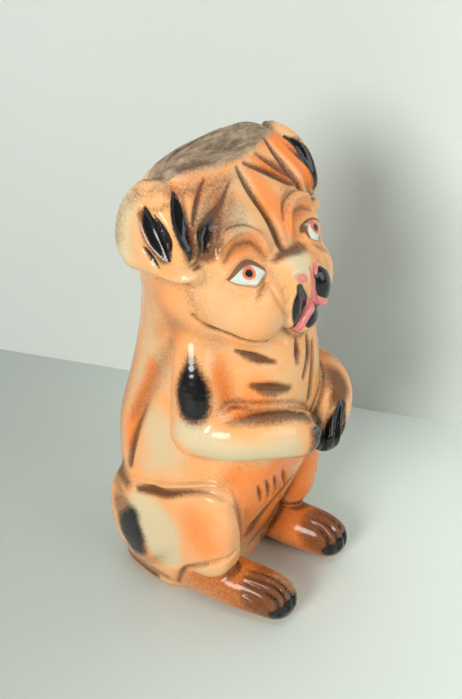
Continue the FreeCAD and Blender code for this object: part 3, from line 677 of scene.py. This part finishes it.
SPRAYED_ONE_SIDE = {
    "cream": (
        (12, 1, (-48, -20, 116, 7), (-42, -36, 110, 9), (-24, -54, 108, 9)),
        (8, 1, (0, -44, 190, 6), (-4, -49, 186, 5)),
        (12, 0.6, (-16, -26, 208, 8), (-20, -28, 205, 6)),
    ),
    "orange": (
        (14, 0.9, (38, -28, 70, 10), (34, -36, 56, 12), (28, -34, 40, 12)),
        (14, 1, (2, -26, 34, 16), (-10, -34, 50, 18), (-10, -40, 66, 18), (-12, -43, 80, 14),
            (6, -45, 86, 12)),
        (14, 0.8, (-30, -33, 86, 8), (-24, -40, 78, 14), (-18, -40, 68, 14)),
        (5, 0.8, (-20, -17, 217.5, 1.5), (-26, -20, 213.5, 2.5)),
        (5, 0.8, (-24, -12, 223.5, 1.5), (-31, -15, 219.5, 2.5)),
        (5, 0.8, (-37, -8, 227, 2), (-42, -12, 223, 2.5)),
        (6, 0.65, (6, -14, 222, 3), (8, -24, 209, 6), (10, -33, 199, 6)),
        (6, 0.95, (12, -12, 223, 2), (22, -18, 216, 4), (32, -25, 207, 3)),
        (5, 1, (33, -9, 226, 5), (38, -16, 217, 6), (41, -24, 206, 4)),
    ),
    "brown": (
        (8, 0.8, (-12, -63, 113, 2), (-12, -62, 106, 3), (-12, -58, 99, 3)),
        (11, 0.85, (20, -42, 134, 4), (26, -44, 131, 6), (27, -50, 123, 6), (22, -57, 117, 6)),
        (10, 0.45, (-18, -16, 215, 8), (-28, -19, 212, 10), (-37, -20, 208, 9)),
        (12, 0.3, (-12, -22, 211, 5), (-24, -25, 208, 8)),
        (12, 0.4, (-16, -20, 213, 6), (-30, -22, 206, 6)),
        (14, 0.4, (36, -26, 138, 4), (40, -30, 126, 5), (38, -44, 112, 5)),
        (6, 0.85, (16, -62, 112, 3), (24, -56, 116, 4), (8, -60, 112, 3)),
        (3.5, 0.75, (-42, -20, 98, 1), (-37, -34, 99.5, 1.4), (-27, -44, 99, 1.6), (-12, -51, 97, 1.2)),
        *((2, 0.8, *along(f"belly rib {i}", 0.4, 0.9, 0.4)) for i in (1, 2, 3, 4)),
        # Brown spray and painted shade along the crease where the belly meets the far thigh
        (6, 0.7, (16, -40, 62, 1), (5, -39, 60, 1.6), (-4, -36.5, 54, 2), (-10, -33, 45, 3),
            (-12, -28, 34, 4)),
        (10, 0.35, (14, -17, 217, 4), (22, -22, 211, 5), (12, -30, 203, 4)),
        (3.5, 0.9, (-9.5, -14.5, 219.5, 0.5), (-20.5, -19, 215, 1.8), (-31.5, -21.5, 211.5, 2.6),
            (-37, -23, 206, 2)),
        (3, 0.85, (-22, -11, 224.5, 0.6), (-33.5, -16.5, 218, 1.6), (-41, -20, 212.5, 1)),
        (6, 0.7, (-20, -19, 215, 2), (-31, -22.5, 211, 6), (-38, -24, 204, 8)),
        (3, 0.9, *along("forehead furrow", 0.8, 1.6, 1.6, 2, 2)),
        (7, 0.9, (-9, -38, 190, 1.5), (-3, -39.5, 192, 3), (4, -41, 192, 3.6), (12, -39, 190, 3)),
        (3, 0.9, *along("far ridge, lower", 0.8, 1.6, 1.4, 0.6)),
        (4, 0.7, *along("far ridge, upper", 1, 2.4, 1)),
        (3, 0.9, *along("far ear's front edge", 0.8, 1.6, 1.6, 1)),
        (4, 1, *along("chest fold, upper", 0.8, 2.2, 0.8)),
        (6, 1, *along("chest fold, lower", 1, 3.4, 1.4)),
        (4, 0.8, *along("under the chin, near", 1, 2, 1)),
        (4, 0.8, *along("under the chin, far", 1, 2, 1)),
        (4, 0.8, *along("beside the far foreleg", 1, 1.6, 1.6)),
        (9, 0.8, (-40, -37, 121, 0.5), (-33, -43, 122, 3.4), (-25.5, -48.5, 122, 4.4), (-18, -53, 121, 4.2),
            (-10, -58.5, 117, 3)),
        (6, 0.8, (-36, 38, 8, 2), (-41, 24, 8, 3), (-41, 12, 5, 3)),
        # Brown spray and painted shade behind the thigh's front edge, where the belly lies back
        (7, 0.6, (-33, -37.5, 72, 0.5), (-30, -38.5, 62, 1.6), (-27.5, -38, 50, 2), (-25, -35, 38, 2.2),
            (-22, -30, 28, 2)),
        (8, 0.6, (22, -34, 30, 2), (12, -26, 22, 4), (0, -22, 16, 4)),
        (10, 0.45, (-46, -4, 223, 2), (-40, -10, 223, 3), (-26, -13, 222, 3), (-8, -14, 221, 2)),
        (2.5, 0.95, (-29, 3.5, 231.5, 0.6), (-22, 4, 233.5, 1.2), (-13, 4, 234, 1.2), (-5, 3.5, 234.5, 1.2),
            (6, 3, 234.5, 0.6)),
        (5, 0.6, (-31, -5, 229, 1), (-22, -6, 229.5, 2), (-12, -8, 228, 1)),
        (4, 0.5, (-14, -3, 233, 0.8), (0, -7, 231, 1.6), (12, -6, 231, 0.8)),
    ),
    "black": (
        (12, 0.3, (-24, -20, 213, 5), (-36, -21, 209, 7)),
        (3.5, 1, (-10, -64, 114, 1), (-9, -64, 110, 2.6), (-8.5, -62, 104, 3.4), (-9, -59, 98, 3)),
        (9, 0.45, (-8, -62, 114, 2), (-10, -62, 106, 3)),
        (6, 0.8, (-27, -21, 213, 0.5), (-33, -22, 210, 2.6), (-37, -22.5, 206.5, 4), (-37.5, -23, 203, 2.5)),
        (2.4, 1, (-7.8, -51, 179.5, 2.4), (-8, -51.5, 175.5, 4.8), (-7.5, -52, 171, 5.8),
            (-7.5, -51, 166.5, 5.2), (-8.5, -49.5, 161.5, 2.6)),
        (2.4, 1, (6, -51.5, 181.5, 3.4), (7.5, -53.5, 177, 6.2), (8.5, -54, 172, 6.2)),
        (2, 1, (6, -52.5, 168, 2), (3, -52.5, 166, 3.6), (0, -53, 164, 3.8), (-2.5, -52.5, 161.5, 2.6)),
        (4, 1, (17, -60, 108, 3.5), (12, -62, 103, 6.5), (7, -62, 97, 7.5), (4, -60, 91, 6)),
        (4, 1, (-3, -61, 113, 5), (-2, -60, 106, 6), (-5, -58, 98, 4)),
        (4, 1, (-31, -58, 8, 4), (-25.5, -62, 10, 5.2), (-20, -61, 12, 4.4)),
        (4, 1, (23, -55, 9, 4), (29, -59, 10, 5.4), (34, -58, 12, 4.4)),
        *((2.2, 0.7, *along(f"{side} toe {i}", 0.1, 0.5, 1, 1))
          for side in ("near", "far") for i in (1, 2, 3)),
        (5, 0.65, (-33, -41, 123.5, 0.6), (-26.5, -45.5, 124, 2), (-18, -50.5, 123, 2),
            (-10, -56, 119.5, 1.6)),
        (3.5, 0.5, (-31, -15, 219.5, 0.2), (-37, -18.5, 215.5, 1), (-42, -21, 211, 1)),
    ),
    "pink": (
        (1.4, 1, (0.5, -49.5, 186, 0.6), (0.3, -51, 180, 1.1), (1.3, -51, 175.5, 1.4),
            (2.8, -50.5, 170.5, 2)),
        (1.4, 1, *along("lip, near", 2.2, 2.3, 2.1, 1.9, 1.6)),
        (1.4, 1, *along("lip, far", 2.2, 2.2, 2, 1.6)),
        (2.2, 1, (-7, -49.5, 183.2, 1), (-5, -50, 183.2, 2), (-3.5, -50, 182.2, 1.4)),
        (2, 0.8, (8, -48, 185, 0.6), (5.5, -49.5, 184, 1.2), (4, -50.5, 182, 0.8)),
    ),
    "crown": (
        (14, 0.6, (-47, 2, 222, 3), (-40, -8, 224, 3), (-28, -12, 223, 2), (0, -15, 220, 2)),
        (7, 1, (-40, 3, 229, 5), (-32, 2, 231, 9), (-20, 1, 234, 11.5), (0, -1, 234, 13), (20, 0, 234, 12),
            (34, 4, 230, 10), (42, 4, 226, 6)),
    ),
}


def nearness(points, rows, reach):
    """For points near a line of rows: which they are, how far off, and the row values beside them."""
    line = curve(rows, STROKE_STEPS)
    close = np.all((points > line[:, :3].min(0) - reach) & (points < line[:, :3].max(0) + reach), axis=1)
    chosen = np.flatnonzero(close)
    near = points[chosen]
    best = np.full(len(near), 1e9)
    beside = np.zeros((len(near), line.shape[1] - 3))
    for a, b in zip(line, line[1:]):
        run = b[:3] - a[:3]
        t = np.clip((near - a[:3]) @ run / (run @ run + 1e-12), 0, 1)
        off = np.linalg.norm(near - a[:3] - t[:, None] * run, axis=1)
        better = off < best
        best[better] = off[better]
        beside[better] = (a[3:] + t[:, None] * (b[3:] - a[3:]))[better]
    return chosen, best, beside


def laid(clay, rows):
    """Rows near the clay's surface, moved onto it."""
    rows = np.array(rows, float)
    for turn in range(TURNS):
        off = sample(clay, rows[:, :3])
        off[np.abs(off) > LAID_REACH] = 0
        rows[:, :3] -= off[:, None] * slope(clay, rows[:, :3])
    return rows


def tooled(clay, points):
    """How far each point is pressed in by the tool marks."""
    depth = np.zeros(len(points))
    flipped = points * OTHER_SIDE
    jobs = [(points, rows) for rows in (*MARKS_ONE_SIDE.values(), *MARKS_BOTH_SIDES.values())]
    jobs += [(flipped, rows) for rows in MARKS_BOTH_SIDES.values()]
    for place, rows in jobs:
        rows = laid(clay, rows)
        chosen, off, beside = nearness(place, rows, rows[:, 3].max())
        share = np.clip(1 - (off / np.maximum(beside[:, 0], 0.01)) ** 2, 0, 1)
        depth[chosen] += beside[:, 1] * share ** 2
    return depth


def painted(clay, points):
    """The strength of each paint layer at each point."""
    made = np.zeros((len(points), len(LAYERS)))
    flipped = points * OTHER_SIDE
    for sprayed, places in ((SPRAYED_BOTH_SIDES, (points, flipped)), (SPRAYED_ONE_SIDE, (points,))):
        for layer, strokes in sprayed.items():
            so_far = made[:, LAYERS.index(layer)]
            for soft, strength, *rows in strokes:
                rows = laid(clay, rows)
                for place in places:
                    chosen, off, beside = nearness(place, rows, rows[:, 3].max() + soft)
                    share = np.clip((beside[:, 0] + soft / 2 - off) / soft, 0, 1)
                    share = strength * share * share * (3 - 2 * share)
                    so_far[chosen] = np.maximum(so_far[chosen], share)
    return made


def combed(points, crown):
    """The wavy strands of the hair, as depths, where the crown is painted."""
    x, y, z = points.T
    across = y * 0.75 - z * 0.5
    for height, pace, start in HAIR_WAVES:
        across = across + height * np.sin(x * pace + start)
    across = across + 0.5 * np.sin(x * 0.53 + y)
    return crown * sum(height * np.sin(across * pace + start) for height, pace, start in STRANDS)


def wash_and_painted_shade(clay, points, depth):
    """How dark each point gets: brown wash in the tool marks, and painted shade in the hollows where forms
    meet.
    """
    outside = sample(clay, points + CREASE_REACH * slope(clay, points))
    hollow = np.clip((1 - outside / CREASE_REACH - HOLLOW_FROM) / HOLLOW_OVER, 0, 1)
    return np.maximum(WASH_IN_MARKS * np.clip(depth / DEEP_MARK, 0, 1), PAINTED_SHADE_IN_HOLLOWS * hollow)


@functools.cache
def modelled(grain):
    """The figure's points in mm, with its tool marks, its faces and its paint layers."""
    clay = model_figure(grain)
    points, faces = skin(clay)
    points = settle(clay, points, faces)
    depth = tooled(clay, points)
    layers = painted(clay, points)
    # The brown layer also takes the wash in tool marks and the painted shade in hollows where forms meet
    brown_and_shade = layers[:, LAYERS.index("brown")]
    brown_and_shade[:] = np.maximum(brown_and_shade, wash_and_painted_shade(clay, points, depth))
    depth += combed(points, layers[:, LAYERS.index("crown")])
    points = points - slope(clay, points) * depth[:, None]
    points[:, 2] = np.maximum(points[:, 2], 0)
    return points, faces, layers


def cast_half(name, points, faces, layers, seam, keep_front):
    """One closed casting: the figure's faces on one side of the seam, capped there."""
    mesh = bpy.data.meshes.new(name)
    mesh.from_pydata(points.tolist(), [], faces.tolist())
    add_paint(mesh, layers)
    work = bmesh.new()
    work.from_mesh(mesh)
    cut = bmesh.ops.bisect_plane(
        work, geom=[*work.verts, *work.edges, *work.faces], dist=1e-6, plane_co=(0, seam, 0),
        plane_no=(0, 1, 0), clear_outer=keep_front, clear_inner=not keep_front)
    rim = [e for e in cut["geom_cut"] if isinstance(e, bmesh.types.BMEdge)]
    for face in work.faces:
        face.smooth = True
    filled = bmesh.ops.triangle_fill(work, edges=rim, use_beauty=True)
    for face in filled["geom"]:
        if isinstance(face, bmesh.types.BMFace):
            face.smooth = False
            face.normal_update()
            if (face.normal.y > 0) != keep_front:
                face.normal_flip()
    for edge in rim:
        edge.smooth = False
    work.to_mesh(mesh)
    work.free()
    mesh.update()
    return mesh


def add_paint(mesh, layers):
    """Stores the paint layers on the mesh as two colour attributes."""
    for name, first in PAINT_ATTRIBUTES:
        values = np.ones((len(layers), 4), REAL)
        values[:, :3] = layers[:, first:first + 3]
        mesh.attributes.new(name, "FLOAT_COLOR", "POINT").data.foreach_set("color", values.ravel())


def show(mesh):
    piece = bpy.data.objects.new(mesh.name, mesh)
    bpy.context.scene.collection.objects.link(piece)
    return piece


# Node trees and materials

class Nodes:
    """A short way to write a node tree."""

    def __init__(self, tree):
        self.tree = tree

    def put(self, kind, inputs=None, **settings):
        node = self.tree.nodes.new(kind)
        for key, value in settings.items():
            setattr(node, key, value)
        for key, value in (inputs or {}).items():
            if isinstance(value, bpy.types.NodeSocket):
                self.tree.links.new(value, node.inputs[key])
            else:
                node.inputs[key].default_value = value
        return node

    def math(self, operation, a, b=0.0):
        return self.put("ShaderNodeMath", {0: a, 1: b}, operation=operation).outputs[0]

    def plus(self, a, b):
        return self.math("ADD", a, b)

    def less(self, a, b):
        return self.math("SUBTRACT", a, b)

    def times(self, a, b):
        return self.math("MULTIPLY", a, b)


class PaintNodes(Nodes):
    """The node tree of a new material."""

    ROUGHNESS = 0.6

    def __init__(self, name):
        self.material = bpy.data.materials.new(name)
        self.material.use_nodes = True
        super().__init__(self.material.node_tree)
        self.tree.nodes.clear()
        self.where = self.put("ShaderNodeTexCoord").outputs["Object"]

    def along(self, place, way):
        """How far a place lies along a direction."""
        return self.put("ShaderNodeVectorMath", {0: place, 1: way}, operation="DOT_PRODUCT").outputs["Value"]

    def blend(self, share, a, b):
        mix = self.put("ShaderNodeMix", {0: share, 6: a, 7: b}, data_type="RGBA", clamp_factor=True)
        return mix.outputs[2]

    def ramp(self, value, low, high):
        """0 below low, 1 above high, smooth between."""
        inputs = {0: value, 1: low, 2: high}
        return self.put("ShaderNodeMapRange", inputs, interpolation_type="SMOOTHSTEP").outputs[0]

    def near(self, value, far, close):
        """1 where a value is closer to nought than close, 0 where it is past far."""
        return self.ramp(self.math("ABSOLUTE", value), far, close)

    def noise(self, kind, where=None):
        scale, detail = kind
        return self.put("ShaderNodeTexNoise", {
            "Vector": where or self.where, "Scale": scale, "Detail": detail,
            "Roughness": self.ROUGHNESS}).outputs["Fac"]

    def bump(self, height, strength, distance):
        return self.put("ShaderNodeBump", {
            "Strength": strength, "Distance": distance, "Height": height}).outputs[0]

    def finish(self, surface):
        self.put("ShaderNodeOutputMaterial", {"Surface": surface.outputs[0]})
        return self.material


def eyes(n, made, paint):
    """Paints both eyes: an off-white almond, its dark lids, an orange ring and a black pupil."""
    for centre, across, up, (half_length, half_height) in EYES:
        start = tuple((a + b) * MM for a, b in zip(centre, (0, FIGURE_SHIFT, 0)))
        place = n.put("ShaderNodeVectorMath", {0: n.where, 1: start}, operation="SUBTRACT").outputs["Vector"]
        x = n.math("DIVIDE", n.along(place, across), half_length * MM)
        y = n.math("DIVIDE", n.along(place, up), half_height * MM)
        deep = n.along(place, tuple(Vector(across).cross(Vector(up))))
        here = n.times(n.near(deep, *EYE_DEPTH), n.near(x, *EYE_WIDTH))
        arch = n.less(1.0, n.times(x, x))
        top = n.less(arch, y)
        foot = n.plus(n.times(arch, LOWER_LID), y)
        white = n.times(here, n.ramp(n.math("MINIMUM", top, foot), -0.03, 0.08))
        made = n.blend(white, made, paint.eye_white)
        round_x = n.times(n.less(x, IRIS_ACROSS), half_length / half_height / IRIS_WIDER)
        round_y = n.less(y, IRIS_UP)
        off = n.math("SQRT", n.plus(n.times(round_x, round_x), n.times(round_y, round_y)))
        for radius, soft, shade in ((IRIS_RADIUS, 0.06, paint.iris), (PUPIL_RADIUS, 0.05, paint.black)):
            made = n.blend(n.times(white, n.ramp(off, radius + soft, radius - soft)), made, shade)
        for edge, shift, far, close, limit, low, high, strength in (
                (top, 0.06, 0.24, 0.1, foot, -0.2, 0.0, 0.85),
                (foot, 0.05, 0.18, 0.05, top, -0.1, 0.1, 0.45)):
            lid = n.times(n.times(here, n.near(n.plus(edge, shift), far, close)), n.ramp(limit, low, high))
            made = n.blend(n.times(lid, strength), made, paint.brown)
    return made


def shaded(shade, factor):
    return tuple(c * factor for c in shade)


def plaster_paint(paint):
    """Airbrushed paint under varnish, from the layers on the mesh."""
    n = PaintNodes("painted_plaster")
    layer = {}
    for name, first in PAINT_ATTRIBUTES:
        stored = n.put("ShaderNodeAttribute", attribute_name=name).outputs[0]
        parts = n.put("ShaderNodeSeparateColor", {0: stored}).outputs[:3]
        layer.update(zip(LAYERS[first:], parts))
    cloud, grain = n.noise(CLOUD), n.noise(GRAIN)
    ragged = n.less(grain, MIDDLE)
    strands = n.put("ShaderNodeMapping", {"Vector": n.where, "Scale": STRETCH}).outputs[0]
    streak = n.noise(STREAK, strands)
    pale, dark = shaded(paint.crown, HAIR_PALE), shaded(paint.crown, HAIR_DARK)
    hair = n.blend(n.ramp(streak, *STREAK_SHOWS), dark, pale)

    made = tuple(paint.tan)
    for noise, (low, high, strength), shade in (
            (n.noise(DRIFT), ORANGE_DRIFT, paint.orange), (cloud, CREAM_CLOUD, paint.cream)):
        made = n.blend(n.times(n.ramp(noise, low, high), strength), made, shade)
    for name, roughness, low, high, strength in COATS:
        broken = n.ramp(n.plus(layer[name], n.times(ragged, roughness)), low, high)
        shade = hair if name == "crown" else getattr(paint, name)
        made = n.blend(n.times(broken, strength), made, shade)
    made = eyes(n, made, paint)

    crown = layer["crown"]
    height = n.plus(cloud, n.times(grain, GRAIN_RISE))
    height = n.plus(height, n.times(n.times(streak, crown), HAIR_RISE))
    rough = n.plus(paint.varnish_gloss, n.times(n.less(cloud, MIDDLE), ROUGH_CLOUD))
    coat = n.plus(n.times(layer["black"], COAT_ON_BLACK), n.less(COAT, n.times(crown, COAT_OFF_CROWN)))
    return n.finish(n.put("ShaderNodeBsdfPrincipled", {
        "Base Color": made, "Roughness": n.plus(rough, n.times(crown, ROUGH_CROWN)),
        "Normal": n.bump(height, *PAINT_BUMP), "Coat Weight": coat, "Specular IOR Level": SPECULAR,
        "Coat Roughness": COAT_ROUGHNESS}))


def bare_plaster(paint):
    """Unpainted plaster, mottled by dust, with small pits that are darker."""
    n = PaintNodes("bare_plaster")
    pits = n.ramp(n.noise(PITS), 0.36, 0.44)
    pale = n.blend(n.ramp(n.noise(DUST), 0.35, 0.7), paint.plaster, shaded(paint.plaster, 0.86))
    made = n.blend(n.less(1.0, pits), pale, shaded(paint.plaster, 0.6))
    return n.finish(n.put("ShaderNodeBsdfPrincipled", {
        "Base Color": made, "Normal": n.bump(pits, *BARE_BUMP), "Roughness": 0.9}))


def stage_paint(name, shade, across, reach, lift):
    """Mottled matt paint with painted light: paler across the picture. The camera sees through its back."""
    n = PaintNodes(name)
    # Painted light: the colour grows paler across the picture
    paler = tuple(min(c * lift, PALEST) for c in shade)
    made = n.blend(n.ramp(n.along(n.where, tuple(across)), *reach), shade, paler)
    made = n.blend(n.times(n.noise(MOTTLES), 0.05), made, MOTTLE)
    matt = n.put("ShaderNodeBsdfPrincipled", {"Base Color": made, "Roughness": 0.7})
    behind = n.times(n.put("ShaderNodeNewGeometry").outputs["Backfacing"],
                     n.put("ShaderNodeLightPath").outputs["Is Camera Ray"])
    clear = n.put("ShaderNodeBsdfTransparent")
    return n.finish(n.put("ShaderNodeMixShader", {0: behind, 1: matt.outputs[0], 2: clear.outputs[0]}))


def made_once(name, make):
    return bpy.data.materials.get(name) or make()


# Operators

def bead_tree():
    """The node tree that scatters small plaster beads over a casting, off its foot and its seam."""
    n = Nodes(bpy.data.node_groups.new("plaster_beads", "GeometryNodeTree"))
    n.tree.is_modifier = True
    for name, kind in (("Geometry", "Geometry"), ("Beads per square metre", "Float"), ("Smallest", "Float"),
                       ("Largest", "Float"), ("Seed", "Int"), ("Seam", "Float"), ("Material", "Material")):
        n.tree.interface.new_socket(name, in_out="INPUT", socket_type="NodeSocket" + kind)
    n.tree.interface.new_socket("Geometry", in_out="OUTPUT", socket_type="NodeSocketGeometry")
    given = n.put("NodeGroupInput").outputs
    place = n.put("GeometryNodeInputPosition").outputs[0]
    axes = n.put("ShaderNodeSeparateXYZ", {0: place}).outputs
    high = n.put("FunctionNodeCompare", {"A": axes["Z"], "B": BEAD_HEIGHT}).outputs[0]
    off = n.math("ABSOLUTE", n.less(axes["Y"], given["Seam"]))
    far = n.put("FunctionNodeCompare", {"A": off, "B": BEAD_FROM_SEAM}).outputs[0]
    both = n.put("FunctionNodeBooleanMath", {0: high, 1: far}).outputs[0]
    spread = n.put("GeometryNodeDistributePointsOnFaces", {
        "Mesh": given["Geometry"], "Density": given["Beads per square metre"], "Seed": given["Seed"],
        "Selection": both})
    size = n.put("FunctionNodeRandomValue", {
        "Seed": given["Seed"], 2: given["Smallest"], 3: given["Largest"]}).outputs[1]
    ball = n.put("GeometryNodeMeshIcoSphere", {"Radius": 1.0, "Subdivisions": 2}).outputs["Mesh"]
    bead = n.put("GeometryNodeSetShadeSmooth", {"Geometry": ball}).outputs["Geometry"]
    spots = n.put("GeometryNodeInstanceOnPoints", {
        "Points": spread.outputs["Points"], "Instance": bead, "Scale": size}).outputs["Instances"]
    join = n.put("GeometryNodeJoinGeometry", {"Geometry": given["Geometry"]})
    n.tree.links.new(spots, join.inputs["Geometry"])
    real = n.put("GeometryNodeRealizeInstances", {"Geometry": join.outputs["Geometry"]})
    dress = n.put("GeometryNodeSetMaterial", {
        "Geometry": real.outputs["Geometry"], "Material": given["Material"]})
    n.put("NodeGroupOutput", {"Geometry": dress.outputs["Geometry"]})
    return n.tree


def beaded(piece, clay):
    """Gives a casting its beads and makes them part of its mesh."""
    tree = bpy.data.node_groups.get("plaster_beads") or bead_tree()
    beads = piece.modifiers.new("beads", "NODES")
    beads.node_group = tree
    values = {"Beads per square metre": clay.beads, "Smallest": clay.smallest_bead,
              "Largest": clay.largest_bead, "Seed": clay.seed, "Seam": clay.seam,
              "Material": piece.data.materials[0]}
    for socket in tree.interface.items_tree:
        if socket.in_out == "INPUT" and socket.name in values:
            beads[socket.identifier] = values[socket.name]
    view = bpy.context.evaluated_depsgraph_get()
    made = bpy.data.meshes.new_from_object(piece.evaluated_get(view), depsgraph=view)
    piece.modifiers.remove(beads)
    piece.data = made


def casting(context, name, keep_front):
    """Makes one casting, paints it and puts it on its solid."""
    clay = context.scene.dog_clay
    points, faces, layers = modelled(clay.grain / MM)
    placed = (points + (0, FIGURE_SHIFT, 0)) * MM
    mesh = cast_half(name, placed, faces, layers, clay.seam, keep_front)
    mesh.materials.append(made_once("painted_plaster", lambda: plaster_paint(context.scene.dog_paint)))
    piece = show(mesh)
    beaded(piece, clay)
    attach(piece, BODY)
    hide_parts("front_casting" if keep_front else "back_casting")


class FrontCasting(bpy.types.Operator):
    """Models and paints the front casting: face, ears, forelegs, belly and hind feet"""

    bl_idname = "chalkdog.front_casting"
    bl_label = "Front casting"

    def execute(self, context):
        casting(context, "painted_front", True)
        return {"FINISHED"}


class BackCasting(bpy.types.Operator):
    """Models and paints the back casting: nape, back and tail"""

    bl_idname = "chalkdog.back_casting"
    bl_label = "Back casting"

    def execute(self, context):
        casting(context, "painted_back", False)
        return {"FINISHED"}


class BarePlaster(bpy.types.Operator):
    """Finishes the seam band and the base plug in bare plaster"""

    bl_idname = "chalkdog.bare_plaster"
    bl_label = "Bare plaster"

    def execute(self, context):
        material = made_once("bare_plaster", lambda: bare_plaster(context.scene.dog_paint))
        for node in ("seam_band", "base_plug"):
            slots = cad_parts[node].data.materials
            slots.clear()
            slots.append(material)
        return {"FINISHED"}


# Camera: turn, rise and roll in degrees, distance in mm, focal length in pixels of the photograph, and
# where it aims, in mm: how far right of the figure's axis, how far up in the picture and at what height
CAMERA_TURN, CAMERA_RISE, CAMERA_ROLL = 53.3, 31.7, -0.4
CAMERA_AWAY, CAMERA_FOCUS = 483.0, 999.0
AIM_RIGHT, AIM_UP, AIM_HEIGHT = 6.3, 1.8, 125.0
PHOTO_WIDE, PHOTO_TALL = 462, 699
SENSOR = 36.0

# Pixels of the photograph, across and down, where the wall meets the floor at the left and right edge
WALL_FOOT = ((0, 349), (461, 425))
# How far floor and wall reach sideways, the floor forwards and the wall up, in m
STAGE_REACH, STAGE_FORE, WALL_HEIGHT = 4, 5, 3

# Lamps: name, how far off to the right, to the front and up in m, size in m and tint
LAMPS = (
    ("key", -0.65, 1.05, 0.62, 0.6, (1.0, 0.98, 0.95)),
    ("fill", 0.9, 0.7, 0.6, 0.8, (0.95, 0.98, 1.0)),
    ("overhead", 0, 0.1, 1.3, 0.9, (1.0, 1.0, 1.0)),
)
# Where the lamps aim, in m, and the room's light
LAMP_AIM = (0, 0, 0.12)
ROOM_LIGHT = (0.92, 0.96, 0.94, 1)

# Painted light: where across the picture, in m, floor and wall begin and end to be painted paler, and by
# how much; the palest that they get, and the grey that mottles them
FLOOR_PAINTED_LIGHT, WALL_PAINTED_LIGHT = ((-0.18, 0.16), 1.66), ((0.05, 0.32), 1.48)
PALEST, MOTTLE = 0.95, (0.3, 0.3, 0.3, 1)


def camera_axes():
    """The camera's right, up and backward directions and its place, in mm on the figure's axis."""
    turn, rise, roll = -math.radians(CAMERA_TURN), math.radians(CAMERA_RISE), math.radians(CAMERA_ROLL)
    back = Vector((math.sin(turn) * math.cos(rise), -math.cos(turn) * math.cos(rise), math.sin(rise)))
    level = Vector((math.cos(turn), math.sin(turn), 0))
    upright = back.cross(level)
    right = level * math.cos(roll) + upright * math.sin(roll)
    up = upright * math.cos(roll) - level * math.sin(roll)
    place = Vector((0, 0, AIM_HEIGHT)) + right * AIM_RIGHT + up * AIM_UP + back * CAMERA_AWAY
    return right, up, back, place


def on_floor(across, down):
    """Where the floor shows at a pixel of the photograph, in metres."""
    right, up, back, place = camera_axes()
    ray = (right * (across - PHOTO_WIDE / 2) + up * (PHOTO_TALL / 2 - down)) / CAMERA_FOCUS - back
    found = place - ray * (place.z / ray.z)
    return Vector((found.x, found.y + FIGURE_SHIFT, 0)) * MM


def panel(name, corners, material):
    mesh = bpy.data.meshes.new(name)
    mesh.from_pydata([tuple(c) for c in corners], [], [(0, 1, 2, 3)])
    mesh.materials.append(material)
    return show(mesh)


def flat(direction):
    """A direction's level part, as a unit."""
    return Vector((direction.x, direction.y, 0)).normalized()


class Stage(bpy.types.Operator):
    """Sets the camera where the photograph was taken, and the floor, wall and lamps"""

    bl_idname = "chalkdog.stage"
    bl_label = "Stage"

    def execute(self, context):
        scene, stage = context.scene, context.scene.dog_stage
        right, up, back, place = camera_axes()
        data = bpy.data.cameras.new("camera")
        data.sensor_fit, data.sensor_height = "VERTICAL", SENSOR
        data.lens = CAMERA_FOCUS / PHOTO_TALL * SENSOR
        camera = bpy.data.objects.new("camera", data)
        camera.location = (place + Vector((0, FIGURE_SHIFT, 0))) * MM
        camera.rotation_mode = "QUATERNION"
        camera.rotation_quaternion = Matrix(np.array([right, up, back]).T.tolist()).to_quaternion()
        scene.collection.objects.link(camera)
        scene.camera = camera

        a, b = (on_floor(*pixel) for pixel in WALL_FOOT)
        along, height = (b - a).normalized(), Vector((0, 0, 1))
        away = height.cross(along)
        if away.dot(a) < 0:
            along, away = -along, -away
        left, far = a - along * STAGE_REACH, a + along * STAGE_REACH
        fore, high = away * STAGE_FORE, height * WALL_HEIGHT
        floor_paint = stage_paint("floor_paint", stage.floor, right, *FLOOR_PAINTED_LIGHT)
        wall_paint = stage_paint("wall_paint", stage.wall, right, *WALL_PAINTED_LIGHT)
        floor = panel("floor", (left - fore, far - fore, far, left), floor_paint)
        wall = panel("wall", (left, far, far + high, left + high), wall_paint)

        for name, to_right, to_front, lift, size, tint in LAMPS:
            data = bpy.data.lights.new(name, "AREA")
            data.shape, data.size, data.energy, data.color = "DISK", size, getattr(stage, name), tint
            lamp = bpy.data.objects.new(name, data)
            lamp.location = flat(right) * to_right + flat(back) * to_front + height * lift
            lamp.rotation_euler = (Vector(LAMP_AIM) - lamp.location).to_track_quat("-Z", "Y").to_euler()
            scene.collection.objects.link(lamp)
        scene.world = bpy.data.worlds.new("studio")
        scene.world.use_nodes = True
        background = scene.world.node_tree.nodes["Background"].inputs
        background[0].default_value, background[1].default_value = ROOM_LIGHT, stage.surround
        scene.view_settings.view_transform = "Standard"
        return {"FINISHED"}


STEPS = (Stage, FrontCasting, BackCasting, BarePlaster)
SETTINGS = (("dog_clay", ClaySettings), ("dog_paint", PaintSettings), ("dog_stage", StageSettings))


class DogPanel(bpy.types.Panel):
    """The pieces of the chalkware dog"""

    bl_idname = "VIEW3D_PT_chalk_dog"
    bl_label = "Chalkware dog"
    bl_space_type = "VIEW_3D"
    bl_region_type = "UI"
    bl_category = "Chalk dog"

    def draw(self, context):
        for step in STEPS:
            self.layout.operator(step.bl_idname)
        for settings, group in SETTINGS:
            for name in group.__annotations__:
                self.layout.prop(getattr(context.scene, settings), name)


def register():
    for _, group in SETTINGS:
        bpy.utils.register_class(group)
    for step in (*STEPS, DogPanel):
        bpy.utils.register_class(step)
    for name, group in SETTINGS:
        setattr(bpy.types.Scene, name, bpy.props.PointerProperty(type=group))


def unregister():
    for name, _ in SETTINGS:
        delattr(bpy.types.Scene, name)
    for step in (*STEPS, DogPanel):
        bpy.utils.unregister_class(step)
    for _, group in SETTINGS:
        bpy.utils.unregister_class(group)


def main():
    register()
    for step in STEPS:
        prefix, name = step.bl_idname.split(".")
        getattr(getattr(bpy.ops, prefix), name)()


if __name__ == "__main__":
    main()
